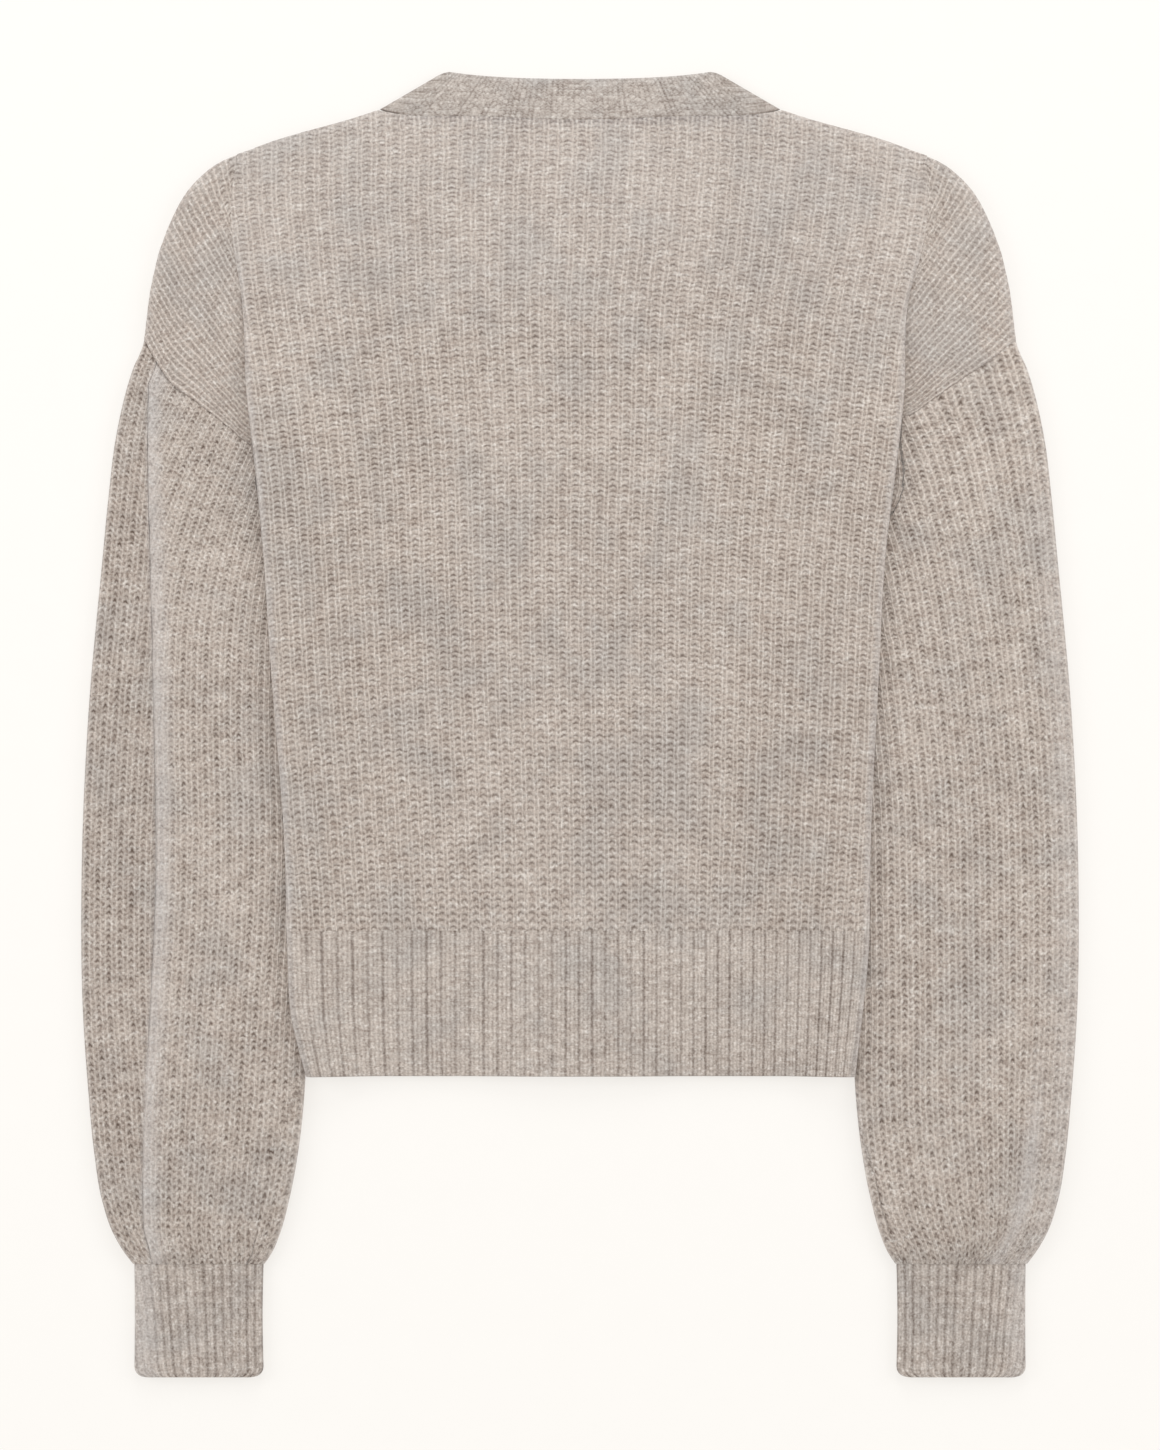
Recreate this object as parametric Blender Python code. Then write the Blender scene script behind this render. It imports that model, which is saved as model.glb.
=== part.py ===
"""A ribbed cardigan, laid flat on its front with its back up and its sleeves brought down.

X runs towards the wearer's right, Y from hem to neck and Z up from the surface. The origin is the middle of
the outline, on the surface. Tables and sizes are in millimetres, and finish() scales each piece to metres.
"""

import math

import bmesh
import bpy
import numpy as np
from mathutils import Vector
from mathutils.geometry import delaunay_2d_cdt

MM = 0.001

# Cloth: a heavy ribbed knit, its ribs raised on the upper side.
WALL = 2.8
RIB = 0.7
GAP = 0.3  # between pieces at a seam
LAYER = 0.6  # between layers that lie on each other
ROUND = 2.2  # width of the rounding where a panel turns over at the outline

# Layers, from the surface up.
BACK_UNDER = WALL + LAYER
BACK_TOP = BACK_UNDER + WALL
BODY_RISE = 8.0  # the body's sides lie on the sleeves' inner folds
OUTER_BAND = 3.2  # the buttonhole band, lowest at the centre front
INNER_BAND_UNDER = OUTER_BAND + LAYER
INNER_BAND_TOP = INNER_BAND_UNDER + WALL
CENTRE_RISE = INNER_BAND_TOP + LAYER - BACK_UNDER

# Heights in the garment.
HEM_SEAM_Y = -113.3
HEM_Y = -193.3
CUFF_SEAM_Y = -296.5
CUFF_Y = -358.6
FOLD_TIP_Y = 292.0  # the pleat beside the body begins here
FOLD_FULL_Y = 152.0  # and has its full height here
LAST_RIB_Y = 285.0  # the drop shoulder's last rib runs into the pleat here

# Ribs on each panel.
BODY_RIBS = 50
SHOULDER_RIBS = 16
HEM_RIBS = 44
SLEEVE_RIBS = 18
STRIP_RIBS = 5  # on the left sleeve's lower strip, outside its lengthwise fold
CUFF_RIBS = 15
NECK_RIBS = 16

# The body's folded sides.
LIP = 2.4  # radius of the fold
TUCK = 3.2  # how far the drop shoulder runs in under the fold
PLEAT = 14.0  # width of the pleat's hidden layers, which are one solid with the back
SIDE_WALL = 3.3  # thickness of the cloth where it turns down at the side
SIDE_UNDER = BODY_RISE + 0.2
PATTERN_HALF = 180.0

BAND_HALF = 15.0
BUTTONS = 7
BUTTON_RADIUS = 7.5
BUTTON_THICK = 2.0
BUTTON_RIM = 1.4
BUTTON_TOP_Y = 255.0
BUTTON_LOW_Y = -178.0
HOLE_RADIUS = 0.9
HOLE_PITCH = 2.8

BODY_COLUMNS = ("y", "left", "right")
BODY = (  # half widths of the body between its folded sides
    (312.4, 188.1, 190.3),
    (288.2, 191.4, 190.8),
    (265.0, 190.4, 188.8),
    (233.2, 185.6, 180.4),
    (178.2, 182.4, 177.4),
    (148.0, 178.8, 174.1),
    (93.5, 173.5, 167.4),
    (32.5, 169.4, 163.9),
    (-69.3, 161.7, 159.0),
    (-129.8, 160.1, 157.7),
    (-160.0, 158.2, 154.6),
    (-178.8, 153.9, 152.4),
    (-193.3, 149.9, 150.7),
)
SHOULDER_COLUMNS = ("along", "x", "y")
SHOULDER = (  # the outline from the neck round the shoulder to the armhole seam
    (0.0, 111.0, 336.9),
    (10.0, 120.0, 333.9),
    (72.0, 179.2, 315.9),
    (96.0, 201.5, 306.0),
    (112.0, 213.2, 295.4),
    (138.0, 225.5, 274.0),
    (168.0, 234.5, 245.0),
    (202.5, 239.3, 211.2),
)
ARMHOLE_COLUMNS = ("across", "left", "right")
ARMHOLE = (  # heights of the armhole seams, from the outline at 0 to the body's side at 1
    (0.0, 211.2, 211.2),
    (0.23, 188.5, 199.5),
    (0.45, 178.5, 190.5),
    (0.70, 167.2, 180.0),
    (0.90, 157.0, 171.0),
    (1.0, 150.0, 166.5),
)
SLEEVE_COLUMNS = ("y", "outer", "inner", "fold", "height")
SLEEVE = (  # half widths of a sleeve's sides, of the left sleeve's lengthwise fold, and its thickness
    (211.2, 239.6, 176.0, 234.0, 6.2),
    (190.3, 247.2, 176.0, 235.0, 6.3),
    (156.2, 255.2, 176.0, 236.3, 6.4),
    (125.0, 259.0, 176.0, 236.3, 6.5),
    (88.0, 262.6, 150.5, 235.6, 6.6),
    (12.1, 269.6, 149.6, 233.8, 6.6),
    (-89.7, 273.9, 149.8, 232.6, 6.6),
    (-160.0, 273.0, 150.2, 235.8, 6.8),
    (-201.3, 270.1, 151.2, 238.2, 7.6),
    (-235.4, 266.8, 154.8, 239.4, 8.6),
    (-261.8, 262.4, 159.8, 239.6, 8.8),
    (-280.5, 256.0, 165.0, 238.4, 8.2),
    (-290.4, 250.2, 169.2, 235.6, 7.2),
    (-296.5, 245.6, 173.2, 234.6, 6.8),
)
SEAM_COLUMNS = ("x", "y")
NECK_SEAM = (  # where the neckband meets the back
    (-111.0, 336.9),
    (-99.0, 334.6),
    (-59.4, 333.6),
    (0.0, 331.6),
    (59.4, 333.6),
    (99.0, 334.8),
    (111.0, 336.9),
)
NECK_FOOT = (108.0, 339.4)  # the neckband turns over to the front along a line from here
NECK_CORNER = (79.2, 356.9)  # to here
NECK_EDGE = 73.0  # half width of the back neckband's edge
NECK_EDGE_Y = 354.4  # height of that edge at the centre back
NECK_EDGE_RISE = 4.2  # how much higher it is at its ends
FRONT_NECK_Y = 270.0  # the neckband's edge at the centre front
FRONT_SEAM_Y = 247.0

SIDES = {"left": -1, "right": 1}

# Looks: colour and roughness.
KNIT = ((0.48, 0.43, 0.37), 0.95)
TRIM = ((0.47, 0.43, 0.38), 0.95)
HORN = ((0.33, 0.27, 0.21), 0.45)


def column(rows, names, name):
    return [row[names.index(name)] for row in rows]


def read(rows, names, key, value):
    """A function that runs smoothly through one column of a table, by another column."""
    pairs = sorted(zip(column(rows, names, key), column(rows, names, value)))
    xs, ys = np.array(pairs).T
    slopes = np.gradient(ys, xs)

    def at(x):
        i = int(np.clip(np.searchsorted(xs, x) - 1, 0, len(xs) - 2))
        step = xs[i + 1] - xs[i]
        t = float(np.clip((x - xs[i]) / step, 0, 1))
        start = (1 + 2 * t) * (1 - t) ** 2 * ys[i] + t * (1 - t) ** 2 * step * slopes[i]
        end = t * t * (3 - 2 * t) * ys[i + 1] - t * t * (1 - t) * step * slopes[i + 1]
        return float(start + end)

    return at


def mix(a, b, t):
    return a + (b - a) * t


def ease(low, high, value):
    """0 at low, 1 at high, and a soft ramp between."""
    t = min(max((value - low) / (high - low), 0), 1)
    return t * t * (3 - 2 * t)


body_half = {side: read(BODY, BODY_COLUMNS, "y", side) for side in SIDES}
shoulder_x = read(SHOULDER, SHOULDER_COLUMNS, "along", "x")
shoulder_y = read(SHOULDER, SHOULDER_COLUMNS, "along", "y")
shoulder_at = read(SHOULDER, SHOULDER_COLUMNS, "x", "y")
neck_seam_y = read(NECK_SEAM, SEAM_COLUMNS, "x", "y")
sleeve_outer = read(SLEEVE, SLEEVE_COLUMNS, "y", "outer")
sleeve_inner = read(SLEEVE, SLEEVE_COLUMNS, "y", "inner")
sleeve_fold = read(SLEEVE, SLEEVE_COLUMNS, "y", "fold")
sleeve_height = read(SLEEVE, SLEEVE_COLUMNS, "y", "height")
ARMHOLE_STEPS = column(ARMHOLE, ARMHOLE_COLUMNS, "across")
SHOULDER_LENGTH = SHOULDER[-1][0]
PLEAT_TIP = 88.0  # the shoulder outline's length at the last rib outside the body


# ---- Heights of the layers ----


def lift(y):
    """How far the body's sides have risen over what lies under them: 0 at the shoulder, 1 at the armhole."""
    return ease(FOLD_TIP_Y, FOLD_FULL_Y, y)


def side_ramp(x):
    """1 over the sleeves' inner folds, 0 where the back lies on the fronts."""
    return ease(108.0, 147.0, abs(x))


def centre_ramp(x):
    return ease(62.0, 17.0, abs(x))


def back_top(x, y):
    below_neck = ease(322.0, 276.0, y)
    return BACK_TOP + BODY_RISE * lift(y) * side_ramp(x) + CENTRE_RISE * centre_ramp(x) * below_neck


def front_rise(side, x):
    """The left front rises over the buttonhole band at the centre."""
    return INNER_BAND_UNDER * ease(50.0, 19.0, abs(x)) if side == "left" else 0.0


def front_under(side, x, y):
    """The fronts lie on the surface, and their sides rise over the sleeves."""
    return BODY_RISE * side_ramp(x) * ease(147.0, 122.0, y) + front_rise(side, x)


# ---- Making meshes ----


def ring_faces(bm, first, second):
    """Quads between two closed rings of as many points."""
    for i in range(len(first)):
        j = (i + 1) % len(first)
        bm.faces.new((first[i], first[j], second[j], second[i]))


def ring_fan(bm, outer, inner, outer_shares, inner_shares):
    """Triangles between two closed rings, matched by each point's share of the way round."""
    i = j = 0
    shares_out = [*outer_shares, 1.0]
    shares_in = [*inner_shares, 1.0]
    while i < len(outer) or j < len(inner):
        a, b = outer[i % len(outer)], inner[j % len(inner)]
        if j >= len(inner) or (i < len(outer) and shares_out[i + 1] <= shares_in[j + 1]):
            i += 1
            bm.faces.new((a, outer[i % len(outer)], b))
        else:
            j += 1
            bm.faces.new((a, inner[j % len(inner)], b))


def material(name, colour, roughness):
    made = bpy.data.materials.new(name)
    made.use_nodes = True
    shader = made.node_tree.nodes["Principled BSDF"]
    shader.inputs["Base Color"].default_value = (*colour, 1.0)
    shader.inputs["Roughness"].default_value = roughness
    shader.inputs["Metallic"].default_value = 0.0
    return made


def finish(name, bm, look, sharp=50.0):
    """The mesh as an object in metres, its faces pointing out."""
    bmesh.ops.recalc_face_normals(bm, faces=bm.faces)
    bmesh.ops.scale(bm, vec=(MM, MM, MM), verts=bm.verts)
    mesh = bpy.data.meshes.new(name)
    bm.to_mesh(mesh)
    bm.free()
    mesh.materials.append(material(name, *look))
    mesh.shade_smooth()
    mesh.set_sharp_from_angle(angle=math.radians(sharp))
    obj = bpy.data.objects.new(name, mesh)
    bpy.context.scene.collection.objects.link(obj)
    return obj


class Panel:
    """A panel of cloth, planned flat. Each point has a place on the plan and a place in space."""

    def __init__(self, pattern=Vector):
        self.pattern = pattern  # lays the plan out so that its rows run straight
        self.rim = []  # (plan, upper place, lower place), anticlockwise
        self.upper = []  # rows of (plan, place): crests, grooves and folds
        self.lower = []

    def skin(self, bm, rows, rim_verts):
        """Faces over the whole plan, with an edge along each row."""
        plans = [self.pattern(plan) for plan, _, _ in self.rim]
        known = {plan: i for i, (plan, _, _) in enumerate(self.rim)}
        verts = list(rim_verts)
        edges = []
        for row in rows:
            indices = []
            for plan, place in row:
                if plan not in known:
                    known[plan] = len(plans)
                    plans.append(self.pattern(plan))
                    verts.append(bm.verts.new(place))
                indices.append(known[plan])
            edges += zip(indices, indices[1:])
        loop = list(range(len(self.rim)))
        points, _, faces, sources, _, owners = delaunay_2d_cdt(plans, edges, [loop], 0, 1e-6, True)
        for point, source in zip(points, sources):
            if len(source) != 1:
                raise ValueError(f"rows cross or meet at {tuple(point)}")
        inside = [face for face, owner in zip(faces, owners) if owner]
        return [[verts[sources[corner][0]] for corner in face] for face in inside]

    def build(self, name, look):
        bm = bmesh.new()
        upper_rim = [bm.verts.new(upper) for _, upper, _ in self.rim]
        lower_rim = [bm.verts.new(lower) for _, _, lower in self.rim]
        for face in self.skin(bm, self.upper, upper_rim):
            bm.faces.new(face)
        for face in self.skin(bm, self.lower, lower_rim):
            bm.faces.new(face[::-1])
        ring_faces(bm, lower_rim, upper_rim)
        return finish(name, bm, look)


# ---- The armhole seams, which the back, the fronts and the sleeves share ----


def seam_end_y(side):
    return column(ARMHOLE, ARMHOLE_COLUMNS, side)[-1]


def armhole_line(side):
    """The seam's corners as half widths and heights. Its last one is tucked in under the body's side."""
    end_y = seam_end_y(side)
    beside = body_half[side](end_y) + 1.6
    line = [
        (mix(SHOULDER[-1][1], beside, across), y)
        for across, y in zip(ARMHOLE_STEPS, column(ARMHOLE, ARMHOLE_COLUMNS, side))
    ]
    line[-1] = (body_half[side](end_y) - TUCK, end_y)
    return line


def armhole_point(side, share):
    line = armhole_line(side)
    x = float(np.interp(share, ARMHOLE_STEPS, [p[0] for p in line]))
    y = float(np.interp(share, ARMHOLE_STEPS, [p[1] for p in line]))
    return x, y


# ---- Back ----

BODY_ROWS = (308, 284, 254, 222, 190, 158, 122, 76, 20, -40, -92)
PLEAT_ROWS = (300, 292, 284, 275, 266, 258, 250, 242, 234, 226, 218, 204, 190, 172)
SIDE_ROWS = (146, 140, 130, 118, 100, 80, 50, 20, -10, -40, -70, -96)
UNDER_X = (-147, -134, -121, -108, -62, -40, -17, 17, 40, 62, 108, 121, 134, 147)
UNDER_Y = (318, 299, 276, 244, 205, 160, 146, 134, 122, 80, 20, -40, -100)


def outline_y(x):
    """Height of the back's upper edge: the shoulder's outline, or the neck seam."""
    return neck_seam_y(x) if abs(x) < SHOULDER[0][1] else shoulder_at(abs(x))


def body_x(share, y):
    """Across the body, from its left folded side at 0 to its right one at 1."""
    left = LIP - body_half["left"](y)
    right = body_half["right"](y) - LIP
    return mix(left, right, share)


def rib_start(share):
    y = 320.0
    for _ in range(20):
        x = body_x(share, y)
        y = outline_y(x)
    return x, y


def straight_sided(plan):
    """The plan with the body's curved sides drawn straight, and the drop shoulders beside them."""
    x, y = plan
    left, right = -body_half["left"](y), body_half["right"](y)
    if x < left:
        return Vector((x - left - PATTERN_HALF, y))
    if x > right:
        return Vector((x - right + PATTERN_HALF, y))
    return Vector((mix(-PATTERN_HALF, PATTERN_HALF, (x - left) / (right - left)), y))


def side_section(side, y):
    """Across the body's folded side: (plan, place) of its shoulder, its edge and, in the pleat, its tuck."""
    sign = SIDES[side]
    half = body_half[side](y)
    up = lift(y)
    high = BACK_TOP + BODY_RISE * up
    drop = min(LIP, high - BACK_TOP)
    folded = ease(0.0, 0.5, up)
    tucked = TUCK * ease(0.2, 0.6, up)
    section = {
        "shoulder": (1.4, 0.7, high - 0.3 * drop),
        "edge": (0.6, 0.0, high - drop),
        "tuck": (-0.8, tucked, mix(high - drop, BACK_TOP + 1.0, ease(0.1, 0.6, up))),
        "end": (-1.6, tucked, BACK_TOP),
    }
    return {
        name: ((sign * (half - plan), y), (sign * (half - mix(plan, inward, folded)), y, z))
        for name, (plan, inward, z) in section.items()
    }


def shoulder_rib(side, share):
    """A rib of the drop shoulder, from the outline to the pleat: 0 lies along the armhole seam."""
    sign = SIDES[side]
    length = mix(SHOULDER_LENGTH, PLEAT_TIP, share)
    start = (shoulder_x(length), shoulder_y(length))
    end_y = mix(seam_end_y(side), LAST_RIB_Y, share)
    end = (body_half[side](end_y) + 1.6, end_y)
    seam = armhole_line(side)
    points = []
    for i, along in enumerate(ARMHOLE_STEPS[:-1]):
        straight = mix(SHOULDER[-1][2], seam_end_y(side), along)
        sag = (seam[i][1] - straight) * (1 - share) ** 2
        points.append((sign * mix(start[0], end[0], along), mix(start[1], end[1], along) + sag))
    return points, (sign * end[0], end_y)


def back_rim_point(plan, place, under):
    return plan, place, (place[0], place[1], under)


def shoulder_outline(side):
    """Ends of the drop shoulder's ribs on the outline, from the armhole seam up to the pleat's tip."""
    count = 2 * SHOULDER_RIBS
    for i in range(1, count + 1):
        x, y = shoulder_rib(side, i / count)[0][0]
        yield back_rim_point((x, y), (x, y, BACK_UNDER + 1.4), BACK_UNDER)


def pleat_top(side):
    """The pleat's lines on the outline, from the outside in."""
    for name in ("end", "tuck", "edge", "shoulder"):
        (x, _), _ = side_section(side, 312.4)[name]
        y = outline_y(x)
        yield back_rim_point((x, y), (x, y, BACK_UNDER + 1.4), BACK_UNDER)


def armhole_rim(side):
    """The armhole seam from the outline to the pleat, and round the pleat's end."""
    sign = SIDES[side]
    plans, _ = shoulder_rib(side, 0.0)
    for x, y in plans:
        yield back_rim_point((x, y), (x, y, BACK_TOP - 0.5), BACK_UNDER)
    section = side_section(side, seam_end_y(side))
    inner = sign * (body_half[side](seam_end_y(side)) - SIDE_WALL - LIP)
    for name in ("end", "tuck"):
        plan, place = section[name]
        yield plan, place, (place[0] if name == "end" else inner, place[1], BACK_UNDER)


def side_rim(side, y):
    sign = SIDES[side]
    half = body_half[side](y)
    upper = (sign * (half - 0.5), y, SIDE_UNDER)
    return (sign * half, y), upper, (sign * (half - SIDE_WALL), y, SIDE_UNDER)


def side_corner(side, y):
    """The end of a folded side at the hem: its foot, its edge and its shoulder."""
    section = side_section(side, y)
    corner = [side_rim(side, y)]
    inner_x = SIDES[side] * (body_half[side](y) - SIDE_WALL - 0.1)
    for name, under in (("edge", BACK_UNDER + BODY_RISE - 0.2), ("shoulder", BACK_UNDER + BODY_RISE)):
        plan, place = section[name]
        corner.append((plan, place, (inner_x, y, under)))
    return corner


def across_back(shares, y, drop):
    """A cut straight across the back, from left to right, with its upper side lowered by drop."""
    middle = []
    for share in shares:
        x = body_x(share, y)
        top = back_top(x, y)
        middle.append(((x, y), (x, y, top - drop), (x, y, top - WALL)))
    return side_corner("left", y) + middle + side_corner("right", y)[::-1]


def side_lining(side, levels):
    """Row of the underside where the cloth turns down along the folded side."""
    row = []
    for y in levels:
        half = body_half[side](y)
        place = (SIDES[side] * (half - SIDE_WALL - 0.1), y, back_top(half, y) - WALL)
        row.append(((SIDES[side] * (half - 1.0), y), place))
    return row


def make_back(look):
    panel = Panel(straight_sided)
    tops = [rib_start(i / (2 * BODY_RIBS)) for i in range(2 * BODY_RIBS + 1)]
    top_rim = [back_rim_point((x, y), (x, y, BACK_UNDER + 1.6), BACK_UNDER) for x, y in tops]

    panel.rim += armhole_rim("left")
    panel.rim += [side_rim("left", y) for y in SIDE_ROWS]
    panel.rim += across_back([i / (2 * BODY_RIBS) for i in range(2 * BODY_RIBS + 1)], HEM_SEAM_Y + GAP, 0.0)
    panel.rim += [side_rim("right", y) for y in reversed((160, 153, *SIDE_ROWS))]
    panel.rim += reversed(list(armhole_rim("right")))
    panel.rim += shoulder_outline("right")
    panel.rim += pleat_top("right")
    panel.rim += reversed(top_rim)
    panel.rim += reversed(list(pleat_top("left")))
    panel.rim += reversed(list(shoulder_outline("left")))

    # Ribs of the body, from the outline to the hem seam.
    for i, (x, y) in enumerate(tops):
        crest = RIB * (i % 2)
        share = i / (2 * BODY_RIBS)
        row = [((x, y), None)]
        for row_y in (y - ROUND, *[level for level in BODY_ROWS if level < y - 2 * ROUND]):
            row_x = body_x(share, row_y)
            row.append(((row_x, row_y), (row_x, row_y, back_top(row_x, row_y) + crest)))
        end_y = HEM_SEAM_Y + GAP
        row.append(((body_x(share, end_y), end_y), None))
        panel.upper.append(row)

    for side, sign in SIDES.items():
        # Lines along the folded side and the pleat.
        tops_of = {name: rim for name, rim in zip(("end", "tuck", "edge", "shoulder"), pleat_top(side))}
        long_rows = (*PLEAT_ROWS, *SIDE_ROWS)
        levels = {"tuck": PLEAT_ROWS, "edge": long_rows, "shoulder": long_rows}
        end_y = HEM_SEAM_Y + GAP
        for name, ys in levels.items():
            last = seam_end_y(side) if name == "tuck" else end_y
            row = [(tops_of[name][0], None)]
            row += [side_section(side, y)[name] for y in ys]
            row.append((side_section(side, last)[name][0], None))
            panel.upper.append(row)

        # Ribs of the drop shoulder, which end in the pleat.
        count = 2 * SHOULDER_RIBS
        pleat_end = [(side_section(side, seam_end_y(side))["end"][0], None)]
        for i in range(1, count + 1):
            crest = RIB * (i % 2)
            points, (end_x, end_y) = shoulder_rib(side, i / count)
            end = ((end_x, end_y), side_section(side, end_y)["end"][1])
            (x0, y0), (x1, y1) = points[:2]
            length = math.hypot(end_x - x0, end_y - y0)
            inset = min(ROUND / math.hypot(x1 - x0, y1 - y0), 0.9)
            turned = (mix(x0, x1, inset), mix(y0, y1, inset))
            middle = points[1:] if length > 8 * ROUND else points[3:4]
            row = [(points[0], None)]
            row += [((x, y), (x, y, BACK_TOP + crest)) for x, y in [turned, *middle]]
            row.append(end)
            panel.upper.append(row)
            pleat_end.append(end)
        pleat_end.append((tops_of["end"][0], None))
        panel.upper.append(pleat_end)

        # Underside: the pleat's hidden layers, then the cloth turned down along the side.
        for inward, solid in ((PLEAT, True), (PLEAT + 2.5, False)):
            row = []
            for y in (*PLEAT_ROWS[1:], seam_end_y(side) + 2.0):
                x = sign * (body_half[side](y) - inward)
                row.append(((x, y), (x, y, BACK_UNDER if solid else back_top(x, y) - WALL)))
            panel.lower.append(row)
        panel.lower.append(side_lining(side, SIDE_ROWS))

    for x in UNDER_X:
        ys = [y for y in UNDER_Y if y < outline_y(x) - 4]
        panel.lower.append([((x, y), (x, y, back_top(x, y) - WALL)) for y in ys])
    return panel.build("back", look)


# ---- Fronts ----


NECK_TURNS = (0.14, 0.28, 0.42, 0.56, 0.7, 0.85, 1.0)


def front_neck(side, turn):
    """Edge and seam of the front neckband: 0 at the fold beside the back neck, 1 at the centre front."""
    sign = SIDES[side]
    angle = turn * math.pi / 2
    start = BAND_HALF + GAP
    edge_x = mix(start, NECK_CORNER[0], math.cos(angle))
    seam_x = mix(start, NECK_FOOT[0], math.cos(angle))
    edge_y = mix(NECK_CORNER[1], FRONT_NECK_Y, math.sin(angle))
    seam_y = mix(NECK_FOOT[1], FRONT_SEAM_Y, math.sin(angle))
    return (sign * edge_x, edge_y), (sign * seam_x, seam_y)


def front_point(side, x, y):
    under = front_under(side, x, y)
    return (x, y), (x, y, under + WALL), (x, y, under)


def front_side(side, y):
    return SIDES[side] * (body_half[side](y) - SIDE_WALL - GAP)


def make_front(side, look):
    sign = SIDES[side]
    panel = Panel()
    centre = sign * (BAND_HALF + GAP)
    seam_y = HEM_SEAM_Y + GAP
    rim = []
    for turn in NECK_TURNS[::-1]:
        x, y = front_neck(side, turn)[1]
        rim.append((x + sign * GAP, y - GAP))
    rim[0] = (centre, rim[0][1])
    for along in (10, 40, 72, 84, 96, 104, 112, 124, 138, 152, 168, 185):
        rim.append((sign * shoulder_x(along), shoulder_y(along)))
    line = armhole_line(side)
    rim += [(sign * x, y) for x, y in line[:-1]]
    end_y = seam_end_y(side)
    rim.append((front_side(side, end_y), end_y))
    rim += [(front_side(side, y), y) for y in SIDE_ROWS]
    rim.append((front_side(side, seam_y), seam_y))
    marks = (147, 134, 121, 108, 62, 50, 40, 30, 19)
    rim += [(sign * x, seam_y) for x in marks]
    rim.append((centre, seam_y))
    points = [front_point(side, x, y) for x, y in rim]
    panel.rim = points if side == "left" else points[::-1]
    for x in marks:
        top = 300.0 if x > 100 else 236.0
        row = [(sign * x, y) for y in UNDER_Y if y < top]
        row.append((sign * x, seam_y))
        panel.upper.append([(plan, front_point(side, *plan)[1]) for plan in row])
        panel.lower.append([(plan, front_point(side, *plan)[2]) for plan in row])
    return panel.build(f"front_{side}", look)


# ---- Hem ----

HEM_ROWS = (-117.0, -160.0, -180.0, -190.5)
UNEVEN = 0.19  # how much wider than even the hem's first rib is, as a share


def hem_shares():
    """Three lines to a rib. Ribs are wider at the left than at the right."""
    for i in range(3 * HEM_RIBS + 1):
        t = i / (3 * HEM_RIBS)
        yield (1 + UNEVEN) * t - UNEVEN * t * t


def make_hem_back(look):
    panel = Panel(straight_sided)
    upper_y, lower_y = HEM_SEAM_Y - GAP / 2, HEM_Y
    shares = list(hem_shares())
    panel.rim = [side_rim("left", y) for y in HEM_ROWS] + across_back(shares, lower_y, 0.8)
    panel.rim += [side_rim("right", y) for y in HEM_ROWS[::-1]] + across_back(shares, upper_y, 0.0)[::-1]
    for i, share in enumerate(shares):
        crest = RIB if i % 3 else 0.0
        row = [((body_x(share, upper_y), upper_y), None)]
        for y in HEM_ROWS:
            x = body_x(share, y)
            row.append(((x, y), (x, y, back_top(x, y) + crest)))
        row.append(((body_x(share, lower_y), lower_y), None))
        panel.upper.append(row)
    for side in SIDES:
        for name in ("edge", "shoulder"):
            row = [(side_section(side, upper_y)[name][0], None)]
            row += [side_section(side, y)[name] for y in HEM_ROWS]
            row.append((side_section(side, lower_y)[name][0], None))
            panel.upper.append(row)
        panel.lower.append(side_lining(side, HEM_ROWS))
    for x in UNDER_X:
        panel.lower.append([((x, y), (x, y, back_top(x, y) - WALL)) for y in (-130.0, -170.0)])
    return panel.build("hem_back", look)


def make_hem_front(side, look):
    sign = SIDES[side]
    panel = Panel()
    centre = sign * (BAND_HALF + GAP)
    upper_y = HEM_SEAM_Y - GAP / 2
    marks = (147, 134, 121, 108, 62, 50, 40, 30, 19)
    rim = [(centre, upper_y)]
    rim += [(sign * x, upper_y) for x in marks[::-1]]
    rim += [(front_side(side, y), y) for y in (upper_y, *HEM_ROWS, HEM_Y)]
    rim += [(sign * x, HEM_Y) for x in marks[1:]]
    rim.append((centre, HEM_Y))
    points = [front_point(side, x, y) for x, y in rim]
    panel.rim = points if side == "left" else points[::-1]
    for x in marks[1:]:
        ends = [((sign * x, y), None) for y in (upper_y, HEM_Y)]
        panel.upper.append(ends)
        panel.lower.append(ends)
    return panel.build(f"hem_front_{side}", look)


# ---- Sleeves and cuffs: flattened tubes ----


def sleeve_point(side, y_or_blend, share):
    """A point of a sleeve's section, from its outer side at 0 to its inner side at 1.

    Sections above the first level one are given as a blend: 0 is the armhole seam and 1 is that section.
    """
    if y_or_blend < 0 or y_or_blend > 1:
        y = y_or_blend
        return mix(sleeve_outer(y), inner_half(side, y), share), y
    blend = y_or_blend
    seam_x, seam_y = armhole_point(side, share)
    seam_y -= 0.5 + 0.4 * (1 - share) ** 3
    level_y = FIRST_LEVEL
    outer_y = mix(SHOULDER[-1][2], level_y, blend)
    inner_y = mix(seam_end_y(side), level_y, blend)
    x = mix(seam_x, mix(sleeve_outer(level_y), inner_half(side, level_y), share), blend)
    outer_line = mix(SHOULDER[-1][1], sleeve_outer(level_y), blend)
    inner_line = mix(armhole_point(side, 1.0)[0], inner_half(side, level_y), blend)
    x += (1 - share) * (sleeve_outer(outer_y) - outer_line) * min(1, 9 * blend)
    x += share * (inner_half(side, inner_y) - inner_line) * min(1, 9 * blend)
    return x, mix(seam_y, level_y, blend)


FIRST_LEVEL = 88.0
SLEEVE_SECTIONS = (
    0.0, 0.12, 0.34, 0.67, FIRST_LEVEL, 50, 12, -30, -75, -120, -160, -195, -222, -246, -265, -280, -289,
    CUFF_SEAM_Y + GAP,
)


def inner_half(side, y):
    """Half width of the sleeve's inner side, which stays under the body's side near the armhole."""
    return min(sleeve_inner(y), body_half[side](y) - TUCK + 0.5) if y > FIRST_LEVEL else sleeve_inner(y)


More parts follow.
